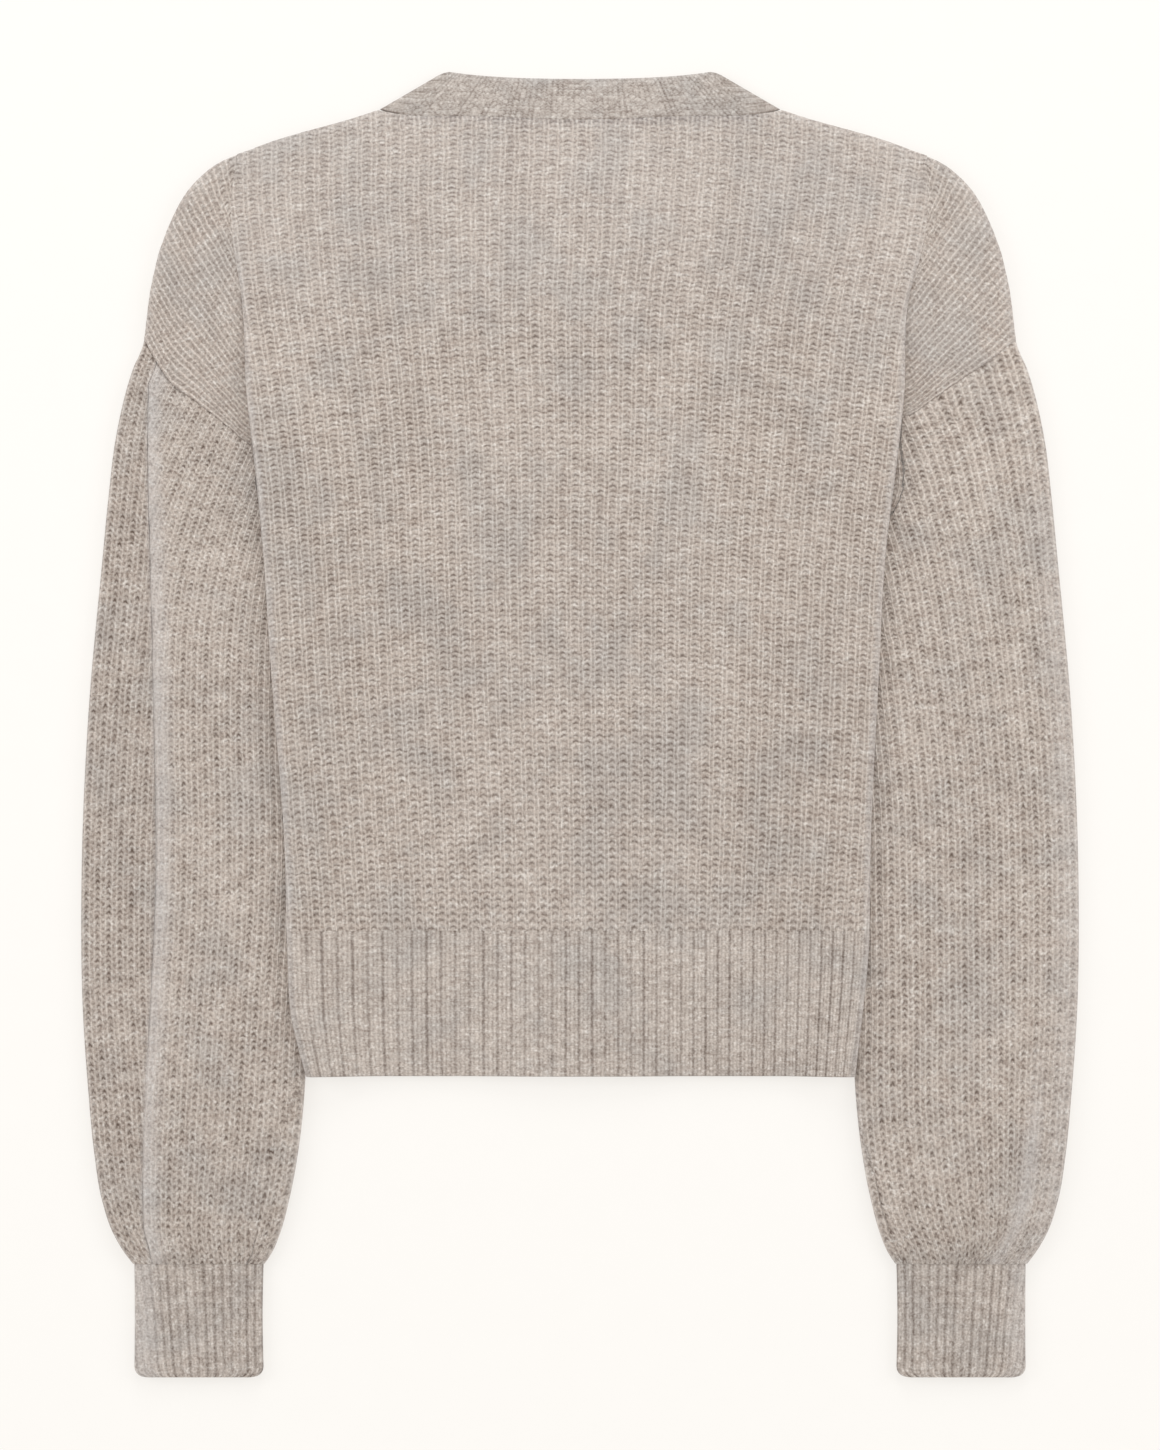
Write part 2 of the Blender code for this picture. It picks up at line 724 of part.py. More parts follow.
def tube_section(sign, point, height, upper, inner_upper, lower):
    """Outer and inner ring of a flattened tube, each with its points' shares of the way round."""
    (x0, y0), (x1, y1) = point(0.0), point(1.0)
    width = math.hypot(x1 - x0, y1 - y0)
    radius = height / 2
    turn = radius / width

    def place(share, z):
        x, y = point(share)
        return sign * x, y, z

    high, low = radius * 1.7, radius * 0.3
    over = with_corners([turn + (1 - 2 * turn) * share for share, _ in upper], lower[1:-1])
    under_top = with_corners([turn + (1 - 2 * turn) * share for share, _ in inner_upper], lower[1:-1])
    ring = [(0.0, radius), (0.29 * turn, high)]
    ring += [(share, z) for share, (_, z) in zip(over, upper)]
    ring += [(1 - 0.29 * turn, high), (1.0, radius), (1 - 0.29 * turn, low)]
    ring += [(min(max(share, turn), 1 - turn), 0.0) for share in lower[::-1]]
    ring.append((0.29 * turn, low))
    wall = WALL / width
    inner = [(wall, radius)]
    inner += [(share, z) for share, (_, z) in zip(under_top, inner_upper)]
    inner.append((1 - wall, radius))
    inner += [(min(max(share, 1.4 * turn), 1 - 1.4 * turn), WALL) for share in lower[::-1]]
    outer_shares = ring_shares([share for share, _ in ring], 3 + len(upper))
    inner_shares = ring_shares([share for share, _ in inner], 1 + len(inner_upper))
    return [place(*p) for p in ring], [place(*p) for p in inner], outer_shares, inner_shares


def with_corners(shares, corners):
    """The shares, with the one nearest to each corner of the seam moved to that corner."""
    moved = list(shares)
    for corner in corners:
        nearest = min(range(len(moved)), key=lambda i: abs(moved[i] - corner))
        moved[nearest] = corner
    return moved


def ring_shares(shares, far):
    """Shares of the way round: the first half of the way is over the top, up to the point numbered far."""
    return [share / 2 if i <= far else 1 - share / 2 for i, share in enumerate(shares)]


def make_tube(name, sections, look):
    bm = bmesh.new()
    outers = [[bm.verts.new(p) for p in outer] for outer, _, _, _ in sections]
    inners = [[bm.verts.new(p) for p in inner] for _, inner, _, _ in sections]
    for rings in (outers, inners):
        for first, second in zip(rings, rings[1:]):
            ring_faces(bm, first, second)
    for end in (0, -1):
        ring_fan(bm, outers[end], inners[end], sections[end][2], sections[end][3])
    return finish(name, bm, look)


def sleeve_upper(side, y, height, fold_share):
    """Ribs across the top of a sleeve, and the plain inside under them, as (share, height)."""
    puff = ease(150.0, 230.0, -y)
    if side == "right":
        count = 2 * SLEEVE_RIBS
        ribs = []
        for i in range(count + 1):
            dome = 1.2 * math.sin(math.pi * i / count) * mix(1.0, puff, ease(0.3, 0.8, i / count))
            ribs.append((i / count, height + dome + RIB * 0.8 * (i % 2)))
        inside = [(i / 8, height + 0.4 * puff - WALL) for i in range(9)]
        return ribs, inside
    strip = min(height, 5.9 + 1.4 * puff)
    high = strip + 2.4
    ribs = []
    for i in range(2 * STRIP_RIBS):
        ribs.append((fold_share * 0.97 * i / (2 * STRIP_RIBS), strip + RIB * 0.8 * (i % 2)))
    ribs.append((fold_share * 0.975, strip))
    ribs.append((fold_share, high - 0.9))
    count = 2 * (SLEEVE_RIBS - STRIP_RIBS)
    for i in range(count + 1):
        share = mix(fold_share + 0.015, 1.0, i / count)
        slope = ease(0.0, 0.7, i / count)
        ribs.append((share, mix(high, height, slope) + RIB * 0.8 * (i % 2)))
    inside = []
    for share in (0.0, 0.5 * fold_share, fold_share, fold_share + 0.05, 0.5, 0.62, 0.75, 0.88, 1.0):
        slope = ease(0.0, 0.7, (share - fold_share) / (1 - fold_share))
        over = mix(high, height, slope) if share > fold_share else strip
        inside.append((share, over - WALL))
    return ribs, inside


def make_sleeve(side, look):
    sections = []
    for level in SLEEVE_SECTIONS:
        def point(share, level=level):
            return sleeve_point(side, level, share)

        (outer_x, _), (inner_x, _) = point(0.0), point(1.0)
        y = point(0.5)[1]
        height = sleeve_height(y)
        fold_share = (outer_x - sleeve_fold(y)) / (outer_x - inner_x)
        fold_share = max(fold_share, 0.12)
        upper, inside = sleeve_upper(side, y, height, fold_share)
        sections.append(tube_section(SIDES[side], point, height, upper, inside, ARMHOLE_STEPS))
    return make_tube(f"sleeve_{side}", sections, look)


CUFF_OUTER = 244.8
CUFF_INNER = 173.8
CUFF_HEIGHT = 6.4


def make_cuff(side, look):
    sections = []
    for y, inset, thin in ((CUFF_SEAM_Y, 0.3, 0.2), (-302.0, 0.0, 0.0), (-325.0, 0.3, 0.0),
                           (-352.0, 0.0, 0.0), (-356.6, 1.4, 0.1), (CUFF_Y, 4.6, 0.3)):
        def point(share, y=y, inset=inset):
            return mix(CUFF_OUTER - inset, CUFF_INNER + inset, share), y

        height = CUFF_HEIGHT - thin
        count = 2 * CUFF_RIBS
        upper = [(i / count, height + RIB * (i % 2) * (1 if thin == 0 else 0.3)) for i in range(count + 1)]
        inside = [(i / 6, height - WALL) for i in range(7)]
        sections.append(tube_section(SIDES[side], point, height, upper, inside, (0.0, 0.33, 0.67, 1.0)))
    return make_tube(f"cuff_{side}", sections, look)


# ---- Neckband ----


def neckband_section(edge, seam, outer_z, inner_z):
    """A closed section of the strip. Each height is given at the seam, midway and at the edge."""
    middle = (mix(seam[0], edge[0], 0.5), mix(seam[1], edge[1], 0.5))
    places = [seam, middle, edge]
    outer = [(*place, z) for place, z in zip(places, outer_z)]
    inner = [(*place, z) for place, z in zip(places, inner_z)]
    return outer + inner[::-1]


def neckband_fold(side, angle):
    """The strip turned over along the line from its foot to its corner."""
    sign = SIDES[side]
    along = Vector(NECK_CORNER) - Vector(NECK_FOOT)
    out = Vector((along.y, -along.x)).normalized()
    radius = BACK_TOP / 2
    section = []
    for reach in (radius, radius - WALL):
        line = []
        for share in (0.0, 0.5, 1.0):
            start = Vector(NECK_FOOT).lerp(Vector(NECK_CORNER), share) - out * radius
            x, y = start + out * reach * math.cos(angle)
            line.append((sign * x, y, radius + reach * math.sin(angle)))
        section += line if reach == radius else line[::-1]
    return section


def neckband_front(side, turn):
    edge, seam = front_neck(side, turn)
    at_seam, at_edge = front_rise(side, seam[0]), front_rise(side, edge[0])
    under = [at_seam, mix(at_seam, at_edge, 0.5), at_edge]
    return neckband_section(edge, seam, under, [z + WALL for z in under])


def neckband_back(share, crest):
    """The back neck, from left at -1 to right at 1. Its edge droops to the surface at the centre."""
    reach = 1 - share**4
    end_x = NECK_FOOT[0] - 6.0
    seam_x = share * end_x
    edge_x = seam_x - (end_x - NECK_EDGE) * share * abs(share) ** 0.7
    seam = (seam_x, neck_seam_y(seam_x) + GAP)
    edge = (edge_x, NECK_EDGE_Y + NECK_EDGE_RISE * share * share)
    under = [BACK_UNDER, BACK_UNDER * (1 - 0.4 * reach), BACK_UNDER * (1 - 0.85 * reach)]
    raised = [under[0] + WALL - 0.4, under[1] + WALL + crest, under[2] + WALL + crest * 0.6]
    return neckband_section(edge, seam, raised, under)


def make_neckband(look):
    angles = [math.radians(angle) for angle in (-90, -45, 0, 45, 80)]
    sections = [neckband_front("left", turn) for turn in NECK_TURNS[::-1]]
    sections += [neckband_fold("left", angle) for angle in angles]
    count = 2 * NECK_RIBS
    sections += [neckband_back(i / NECK_RIBS - 1, RIB * (i % 2)) for i in range(1, count)]
    sections += [neckband_fold("right", angle) for angle in reversed(angles)]
    sections += [neckband_front("right", turn) for turn in NECK_TURNS]
    bm = bmesh.new()
    rings = [[bm.verts.new(p) for p in section] for section in sections]
    for first, second in zip(rings, rings[1:]):
        ring_faces(bm, first, second)
    bm.faces.new(rings[0])
    bm.faces.new(rings[-1])
    return finish("neckband", bm, look)


# ---- Button bands and buttons ----


def make_band(side, under, thick, look):
    bm = bmesh.new()
    bmesh.ops.create_cube(bm, size=1.0)
    bmesh.ops.scale(bm, vec=(2 * BAND_HALF, FRONT_NECK_Y - HEM_Y, thick), verts=bm.verts)
    centre = (0.0, (FRONT_NECK_Y + HEM_Y) / 2, under + thick / 2)
    bmesh.ops.translate(bm, vec=centre, verts=bm.verts)
    uprights = [edge for edge in bm.edges if abs(edge.verts[0].co.z - edge.verts[1].co.z) > thick / 2]
    bmesh.ops.bevel(bm, geom=uprights, offset=1.5, segments=2, affect="EDGES")
    return finish(f"band_{side}", bm, look)


def button_places():
    return [mix(BUTTON_TOP_Y, BUTTON_LOW_Y, i / (BUTTONS - 1)) for i in range(BUTTONS)]


def cylinder(bm, radius, depth, sides, centre):
    made = bmesh.ops.create_cone(
        bm, cap_ends=True, segments=sides, radius1=radius, radius2=radius, depth=depth
    )
    bmesh.ops.translate(bm, vec=centre, verts=made["verts"])


def cut(obj, name, tool, look):
    """Cuts the closed shapes in tool out of the object."""
    cutter = finish(name, tool, look)
    cutter.hide_render = True
    cutter.display_type = "WIRE"
    modifier = obj.modifiers.new("cut", "BOOLEAN")
    modifier.object = cutter
    modifier.solver = "EXACT"


def cut_button_pockets(band, look):
    """Each button lies on the band's outer face, sunk into the knit."""
    tool = bmesh.new()
    for y in button_places():
        depth = 2 * (BUTTON_THICK + GAP)
        cylinder(tool, BUTTON_RADIUS + 2 * GAP, depth, 12, (0.0, y, 0.0))
    cut(band, "button_pockets", tool, look)


def make_button(number, y, look):
    """A disc with a raised rim on its outer face, which looks down, and four holes."""
    bm = bmesh.new()
    profile = (
        (0.0, 0.5), (BUTTON_RADIUS - BUTTON_RIM, 0.0), (BUTTON_RADIUS - 0.4, 0.0),
        (BUTTON_RADIUS, 0.5), (BUTTON_RADIUS - 0.3, BUTTON_THICK), (0.0, BUTTON_THICK),
    )
    verts = [bm.verts.new((radius, 0.0, z)) for radius, z in profile]
    edges = [bm.edges.new(pair) for pair in zip(verts, verts[1:])]
    bmesh.ops.spin(bm, geom=edges, cent=(0, 0, 0), axis=(0, 0, 1), angle=math.tau, steps=10, use_merge=True)
    bmesh.ops.remove_doubles(bm, verts=bm.verts, dist=0.001)
    bmesh.ops.translate(bm, vec=(0.0, y, 0.0), verts=bm.verts)
    button = finish(f"button_{number}", bm, look, 30.0)
    tool = bmesh.new()
    for i in range(4):
        angle = math.radians(45 + 90 * i)
        reach = HOLE_PITCH / math.sqrt(2)
        centre = (reach * math.cos(angle), y + reach * math.sin(angle), BUTTON_THICK / 2)
        cylinder(tool, HOLE_RADIUS, 2 * BUTTON_THICK, 4, centre)
    cut(button, f"button_{number}_holes", tool, look)


# ---- Assembly ----


def clear_scene():
    for obj in list(bpy.data.objects):
        bpy.data.objects.remove(obj, do_unlink=True)


def main():
    clear_scene()
    make_back(KNIT)
    make_hem_back(TRIM)
    make_neckband(TRIM)
    for side in SIDES:
        make_front(side, KNIT)
        make_hem_front(side, TRIM)
        make_sleeve(side, KNIT)
        make_cuff(side, TRIM)
    outer_band = make_band("right", 0.0, OUTER_BAND, TRIM)
    cut_button_pockets(outer_band, TRIM)
    make_band("left", INNER_BAND_UNDER, WALL, TRIM)
    for number, y in enumerate(button_places(), 1):
        make_button(number, y, HORN)


main()
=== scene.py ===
# %% [markdown]
# # A ribbed cardigan, laid flat with its back up
# The frame is loaded first. It holds the plain solids of every piece: the back, the fronts, the sleeves,
# the cuffs, the hems, the neckband, the button bands and the buttons. Each piece of cloth below is knitted
# again as a finer wall on the same form, with its ribs in the mesh and its stitches in the material.

# %% Load the frame
import math

import bmesh
import bpy
import numpy as np
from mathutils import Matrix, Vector


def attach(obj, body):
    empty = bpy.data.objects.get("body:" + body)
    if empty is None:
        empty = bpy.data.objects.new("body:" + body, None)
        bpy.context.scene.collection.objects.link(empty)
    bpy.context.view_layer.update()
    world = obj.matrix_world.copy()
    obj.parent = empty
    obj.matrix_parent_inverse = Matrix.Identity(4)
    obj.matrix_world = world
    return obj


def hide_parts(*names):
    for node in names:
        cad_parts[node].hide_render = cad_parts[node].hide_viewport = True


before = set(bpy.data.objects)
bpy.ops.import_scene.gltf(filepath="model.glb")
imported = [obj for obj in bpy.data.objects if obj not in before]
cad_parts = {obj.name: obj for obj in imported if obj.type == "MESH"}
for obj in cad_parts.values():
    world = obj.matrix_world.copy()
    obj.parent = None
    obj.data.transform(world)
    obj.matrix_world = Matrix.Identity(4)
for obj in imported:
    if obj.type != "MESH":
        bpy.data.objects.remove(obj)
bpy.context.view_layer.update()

from types import SimpleNamespace

MM = 0.001
print("solids in the frame:", len(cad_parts))

# %% [markdown]
# ## Camera
# A flat lay is photographed from straight above. The camera hangs high over the surface with a long lens,
# so the garment shows no perspective, and the long side of the frame covers the height that the photo has.

# %% Camera
PHOTO_WIDTH, PHOTO_HEIGHT = 1160, 1450
MM_PER_PIXEL = 0.55
VIEW_LENGTH = PHOTO_HEIGHT * MM_PER_PIXEL * MM
CAMERA_HEIGHT = 2.6
PHOTO_MIDDLE_Y = -0.55 * MM

bpy.ops.object.camera_add(location=(0, PHOTO_MIDDLE_Y, CAMERA_HEIGHT), rotation=(0, 0, 0))
camera = bpy.context.object
camera.name = "flat_lay_camera"
camera.data.sensor_width = 36.0
camera.data.lens = camera.data.sensor_width * CAMERA_HEIGHT / VIEW_LENGTH
camera.data.clip_end = 20.0
bpy.context.scene.camera = camera
print(f"lens {camera.data.lens:.1f} mm, frame {PHOTO_WIDTH * MM_PER_PIXEL:.0f} mm wide")

# %% [markdown]
# ## Surface and light
# The cardigan lies on a pale light table. A bright even sky gives the soft shade in the knit's hollows. Large
# lamps at both sides and above the neck, low enough to graze, let the ribs and the folds show their relief.

# %% Light and surface
scene = bpy.context.scene
scene.view_settings.view_transform = "Standard"
sky = bpy.data.worlds.new("soft_sky")
sky.use_nodes = True
sky.node_tree.nodes["Background"].inputs["Color"].default_value = (1.0, 0.99, 0.975, 1.0)
sky.node_tree.nodes["Background"].inputs["Strength"].default_value = 0.77
scene.world = sky


def soft_lamp(name, place, size, power):
    """A square lamp at a place in metres, turned to the middle of the garment."""
    bpy.ops.object.light_add(type="AREA", location=place)
    lamp = bpy.context.object
    lamp.name = name
    lamp.data.shape = "SQUARE"
    lamp.data.size = size
    lamp.data.energy = power
    lamp.rotation_euler = (-Vector(place)).to_track_quat("-Z", "Y").to_euler()


soft_lamp("lamp_left", (-1.9, 0.5, 1.25), 1.1, 13.0)
soft_lamp("lamp_right", (1.9, 0.4, 1.25), 1.1, 12.0)
soft_lamp("lamp_above_neck", (0.0, 1.9, 1.05), 1.1, 14.0)

bpy.ops.object.select_all(action="DESELECT")
bpy.ops.mesh.primitive_plane_add(size=8.0, location=(0, 0, 0))
surface = bpy.context.object
surface.name = "surface"

# %% [markdown]
# ## Writing materials as sums
# A knit is a repeating pattern, so its material is maths. One small class wraps a socket, and adding or
# multiplying two of them adds the Math node that does it. Another makes any node in one call.

# %% Thread: shader maths
class Thread:
    """A number that changes over the surface: the output of a node in one material."""

    def __init__(self, finish, socket):
        self.finish = finish
        self.socket = socket

    def maths(self, operation, *others):
        node = self.finish.nodes.new("ShaderNodeMath")
        node.operation = operation
        for i, value in enumerate((self, *others)):
            self.finish.plug(node.inputs[i], value)
        return Thread(self.finish, node.outputs[0])

    def __add__(self, other):
        return self.maths("ADD", other)

    __radd__ = __add__

    def __mul__(self, other):
        return self.maths("MULTIPLY", other)

    __rmul__ = __mul__

    def __sub__(self, other):
        return self.maths("SUBTRACT", other)

    def __rsub__(self, other):
        return (self * -1.0) + other

    def __pow__(self, other):
        return self.maths("POWER", other)

    def __abs__(self):
        return self.maths("ABSOLUTE")

    def repeat(self):
        """The part after the decimal point: 0 to 1, once for each stitch."""
        return self.maths("FRACT")

    def wave(self):
        """1 on each whole number and 0 halfway between."""
        return (self * math.tau).maths("COSINE") * 0.5 + 0.5

    def ramp(self, low, high):
        """0 up to low, 1 from high, and soft between. low may be the higher one."""
        return self.finish.node(
            "ShaderNodeMapRange", {"interpolation_type": "SMOOTHSTEP"},
            {"Value": self, "From Min": low, "From Max": high, "To Min": 0.0, "To Max": 1.0},
        )["Result"]


class Finish:
    """One material, with the Principled shader that it ends in."""

    def __init__(self, name):
        self.material = bpy.data.materials.new(name)
        self.material.use_nodes = True
        self.nodes = self.material.node_tree.nodes
        self.shader = self.nodes["Principled BSDF"]

    def plug(self, socket, value):
        """Links a Thread to a socket, or sets the socket to a value."""
        if isinstance(value, Thread):
            self.material.node_tree.links.new(value.socket, socket)
        else:
            socket.default_value = value

    def node(self, kind, settings, sockets):
        """Makes a node and returns its outputs by name."""
        node = self.nodes.new(kind)
        for name, value in settings.items():
            setattr(node, name, value)
        for name, value in sockets.items():
            self.plug(node.inputs[name], value)
        return {output.name: Thread(self, output) for output in node.outputs if output.enabled}

    def set(self, **values):
        """Constants of the shader, by socket name with underscores."""
        for name, value in values.items():
            self.shader.inputs[name.replace("_", " ")].default_value = value

    def vary(self, name, value):
        """Lets one of the shader's sockets change over the surface."""
        self.plug(self.shader.inputs[name], value)

    def blend(self, share, low, high):
        """A colour between two, each a colour or a Thread."""
        node = self.nodes.new("ShaderNodeMix")
        node.data_type = "RGBA"
        self.plug(node.inputs["Factor"], share)
        for name, colour in (("A", low), ("B", high)):
            socket = [s for s in node.inputs if s.name == name and s.type == "RGBA"][0]
            self.plug(socket, colour if isinstance(colour, Thread) else (*colour, 1.0))
        result = [s for s in node.outputs if s.type == "RGBA"][0]
        return Thread(self, result)

    def object_place(self):
        """Where a point lies in its object, in metres."""
        return self.node("ShaderNodeTexCoord", {}, {})["Object"]

    def place(self, x, y):
        """A point made of two numbers."""
        return self.node("ShaderNodeCombineXYZ", {}, {"X": x, "Y": y})["Vector"]

    def noise(self, vector, scale, detail=2.0, rough=0.5):
        return self.node(
            "ShaderNodeTexNoise", {},
            {"Vector": vector, "Scale": scale, "Detail": detail, "Roughness": rough},
        )["Fac"]


# %% [markdown]
# ## The surface's finish
# Pale warm paper on a light table: almost white and matte, with a very faint tooth. It glows a little, so the
# garment casts hardly any shadow round itself.

# %% Surface finish
paper = Finish("pale_paper")
paper.set(Roughness=0.9, Emission_Color=(0.985, 0.958, 0.917, 1.0), Emission_Strength=0.70)
paper_grain = paper.noise(paper.object_place(), 60.0)
paper.vary("Base Color", paper.blend(paper_grain, (0.264, 0.257, 0.248), (0.274, 0.267, 0.258)))
surface.data.materials.append(paper.material)

# %% [markdown]
# ## Heathered yarn
# The yarn is spun from brown, grey and cream wool, so a row shows short streaks of each. The colour is read
# along the knit's own counts: ribs across and rows down. Long streaks lie along a row, and the wool's fine
# hair adds a grain that is smaller than a stitch.

# %% Yarn
BROWN_WOOL = (0.452, 0.370, 0.318)
BEIGE_WOOL = (0.628, 0.550, 0.488)
CREAM_WOOL = (0.790, 0.735, 0.680)
GREY_WOOL = (0.500, 0.496, 0.485)
# The last two are painted light: a pale cool painted sheen for fuzz lit at a grazing angle, and the painted
# shade of the knit's hollows.
FUZZ_SHEEN_WOOL = (0.425, 0.428, 0.443)
PAINTED_HOLLOW_SHADE = (0.115, 0.082, 0.064)


def knit_counts(finish, wobble):
    """Ribs across and rows down, from the piece's own map, a little uneven as in hand-washed wool."""
    counts = finish.node("ShaderNodeUVMap", {"uv_map": "Knit"}, {})["UV"]
    parts = finish.node("ShaderNodeSeparateXYZ", {}, {"Vector": counts})
    drift = finish.noise(counts, 0.55, 1.0) - 0.5
    jog = finish.noise(counts, 1.7, 1.0) - 0.5
    ribs = parts["X"] + drift * (0.22 * wobble) + jog * (0.08 * wobble)
    rows = parts["Y"] + drift * (0.8 * wobble) + jog * (0.25 * wobble)
    return counts, ribs, rows


def heather(finish, counts, cool):
    """The yarn's mixed colour, and the grain of its fibres."""
    parts = finish.node("ShaderNodeSeparateXYZ", {}, {"Vector": counts})
    along = finish.place(parts["X"] * 0.85, parts["Y"] * 0.95)
    streaks = finish.noise(along, 0.70, 3.0, 0.62)
    flecks = finish.noise(along, 2.6, 2.0, 0.65)
    place = finish.object_place()
    hair = finish.noise(place, 760.0, 2.0, 0.7)
    clouds = finish.noise(place, 26.0, 3.0, 0.6)
    mixed = streaks * 0.36 + flecks * 0.30 + hair * 0.34
    colour = finish.blend(mixed.ramp(0.37, 0.50), BROWN_WOOL, BEIGE_WOOL)
    colour = finish.blend(mixed.ramp(0.50, 0.63), colour, CREAM_WOOL)
    tone = (finish.noise(place, 58.0) - 0.5) * 0.26 + (finish.noise(place, 13.0) - 0.5) * 0.18
    return finish.blend((clouds.ramp(0.45, 0.68) * 0.30) + cool, colour, GREY_WOOL), hair, tone


# %% [markdown]
# ## Stitches
# The back is a half cardigan rib: between narrow columns of knit stitches, whose two legs are left lighter as a
# painted highlight, lie wide columns of purl bumps, each a small arch over a hollow in painted shade. The
# sleeves
# show the same rib with its two halves nearer to each other, so that it looks like a net. The trims are a fine
# rib:
# flat columns of wales, with a groove in painted shade between them. Four marks on the points change a finish
# from
# place to place: fuzz where the wool stands up over a fold or an edge, painted paler and cooler as painted
# sheen and with less contrast, seam along a seam, pull where the cloth is drawn out and shows its legs as
# lines, and shade, a painted shade where one layer lies lower than the next.

# %% Stitch patterns
MARKS = ("haze", "seam", "pull", "shade")


def half_cardigan(leg_at, spread, droop, column, centre, valley, bite, sharp):
    """Pattern of the wide rib. A knit column lies on each whole number, and its two legs beside it, left
    lighter as a painted highlight.
    """

    def pattern(knit):
        across = abs(knit.ribs.repeat() - 0.5)
        off_leg = across - leg_at + knit.pull * (leg_at - 0.25)
        leg = ((off_leg * (17.0 - knit.pull * 5.0)) ** 2.0 * -1.0).maths("EXPONENT")
        middle = ((across * spread) ** 4.0 * -1.0).maths("EXPONENT")
        gap = across.ramp(leg_at + 0.03, 0.46)
        arch = (knit.rows - across * droop).wave()
        # Painted shade: a stroke under each arch, and darker gaps and purl field, while the legs stay lighter
        # as a painted highlight.
        stroke = (1.0 - arch) ** sharp * (knit.chance * 0.40 + 0.80) * (1.0 - knit.pull * 0.6)
        height = arch * (middle * 0.35 + 0.20) + leg * 0.75
        dark = (1.0 - leg) * (knit.pull * 0.15 + 0.27) - 0.05 + gap * 0.08 + middle * column
        return height, 1.0 - dark - stroke * (middle * centre + gap * valley + bite)

    return pattern


def fine_rib(wales, groove_half, depth, bite, base):
    """Pattern of a trim: a groove on each whole number, and flat wales of small V's between."""

    def pattern(knit):
        across = 0.5 - abs(knit.ribs.repeat() - 0.5)
        groove = ((across * (1.0 / groove_half)) ** 2.0 * -1.0).maths("EXPONENT")
        wale = (knit.ribs * wales + 0.5).wave()
        vee = (knit.rows + wale * 0.5).wave()
        height = (1.0 - groove) * 0.5 + wale * 0.25 + vee * 0.15
        # Painted shade in the grooves, between the wales and in the V's, and base darkens the whole trim
        # evenly.
        dark = groove * depth * (knit.slow * 0.4 + 0.80) + (1.0 - wale) * (1.0 - groove) * 0.22 + base
        return height, 1.0 - dark - (1.0 - vee) * bite * (knit.chance * 1.1 + 0.3)

    return pattern


def neck_rib(knit):
    """Pattern of the neckband: fine lines all along it, deeper in threes on each whole number."""
    across = 0.5 - abs(knit.ribs.repeat() - 0.5)
    lines = (knit.ribs * 4.0).wave() ** 1.5 * (across.ramp(0.40, 0.20) * 0.45 + 0.55)
    vee = (knit.rows + (knit.ribs * 4.0).wave() * 0.5).wave()
    height = (1.0 - lines) * 0.5 + vee * 0.15
    # Painted shade along the lines and in the V's, over an even darkening.
    dark = lines * (knit.slow * 0.16 + 0.09) + (1.0 - vee) * 0.18 * (knit.chance + 0.3) + 0.255
    return height, 1.0 - dark


def knit_finish(name, relief_mm, pattern, mottle, cool=0.0, wobble=1.0, wales=1.0):
    """A wool finish with one stitch pattern. mottle is how much one stitch's tone differs from the next."""
    wool = Finish(name)
    counts, ribs, rows = knit_counts(wool, wobble)
    colour, hair, tone = heather(wool, counts, cool)
    marks = {mark: wool.node("ShaderNodeAttribute", {"attribute_name": mark}, {})["Fac"] for mark in MARKS}
    stitch = wool.place((ribs * wales).maths("FLOOR"), rows.maths("FLOOR"))
    chance = wool.node("ShaderNodeTexWhiteNoise", {"noise_dimensions": "2D"}, {"Vector": stitch})["Value"]
    stretch = wool.place(ribs * 0.9, rows * 0.014)
    slow = wool.noise(stretch, 1.0, 1.0).ramp(0.36, 0.66)
    height, shade = pattern(SimpleNamespace(ribs=ribs, rows=rows, chance=chance, slow=slow, pull=marks["pull"]))
    # This mark stands for fuzz: it lowers the stitches' contrast and blends in a pale cool painted sheen.
    haze = marks["haze"] * (hair * 1.4 + 0.3)
    thread = (ribs * 3.0).wave() * 0.5 + chance * 0.3
    # dark blends the colour towards painted shade: the stitches' painted shade, the seam's stitches, the shade
    # mark, and the yarn's random grain and tone.
    dark = (1.0 - shade) * (1.0 - haze * 0.55) + marks["seam"] * thread * 0.42 + marks["shade"]
    dark = dark - (hair - 0.5) * 0.85 + (chance - 0.5) * mottle + tone + 0.02
    colour = wool.blend(haze * 0.36, wool.blend(dark, colour, PAINTED_HOLLOW_SHADE), FUZZ_SHEEN_WOOL)
    wool.vary("Base Color", colour)
    bumped = wool.node(
        "ShaderNodeBump", {},
        {"Strength": 1.0, "Distance": relief_mm * MM, "Height": height * (1.0 - haze * 0.6) + hair * 0.20},
    )["Normal"]
    wool.vary("Normal", bumped)
    wool.set(Roughness=0.95, Specular_IOR_Level=0.15, Sheen_Weight=0.22, Sheen_Roughness=0.55,
             Sheen_Tint=(0.93, 0.95, 1.0, 1.0))
    return wool.material


back_wool = knit_finish(
    "half_cardigan_rib", 0.40, mottle=0.05,
    pattern=half_cardigan(leg_at=0.333, spread=3.7, droop=0.95, column=0.04,
                          centre=0.28, valley=0.14, bite=0.17, sharp=1.8))
sleeve_wool = knit_finish(
    "sleeve_rib", 0.45, mottle=0.14,
    pattern=half_cardigan(leg_at=0.285, spread=5.8, droop=1.7, column=0.085,
                          centre=0.27, valley=0.12, bite=0.16, sharp=1.4))
hem_wool = knit_finish(
    "hem_rib", 0.25, cool=0.12, wobble=0.35, wales=3.0, mottle=0.20,
    pattern=fine_rib(wales=3.0, groove_half=0.12, depth=0.42, bite=0.06, base=0.15))
cuff_wool = knit_finish(
    "cuff_rib", 0.30, cool=0.12, wobble=0.5, wales=2.0, mottle=0.20,
    pattern=fine_rib(wales=2.0, groove_half=0.25, depth=0.44, bite=0.10, base=0.085))
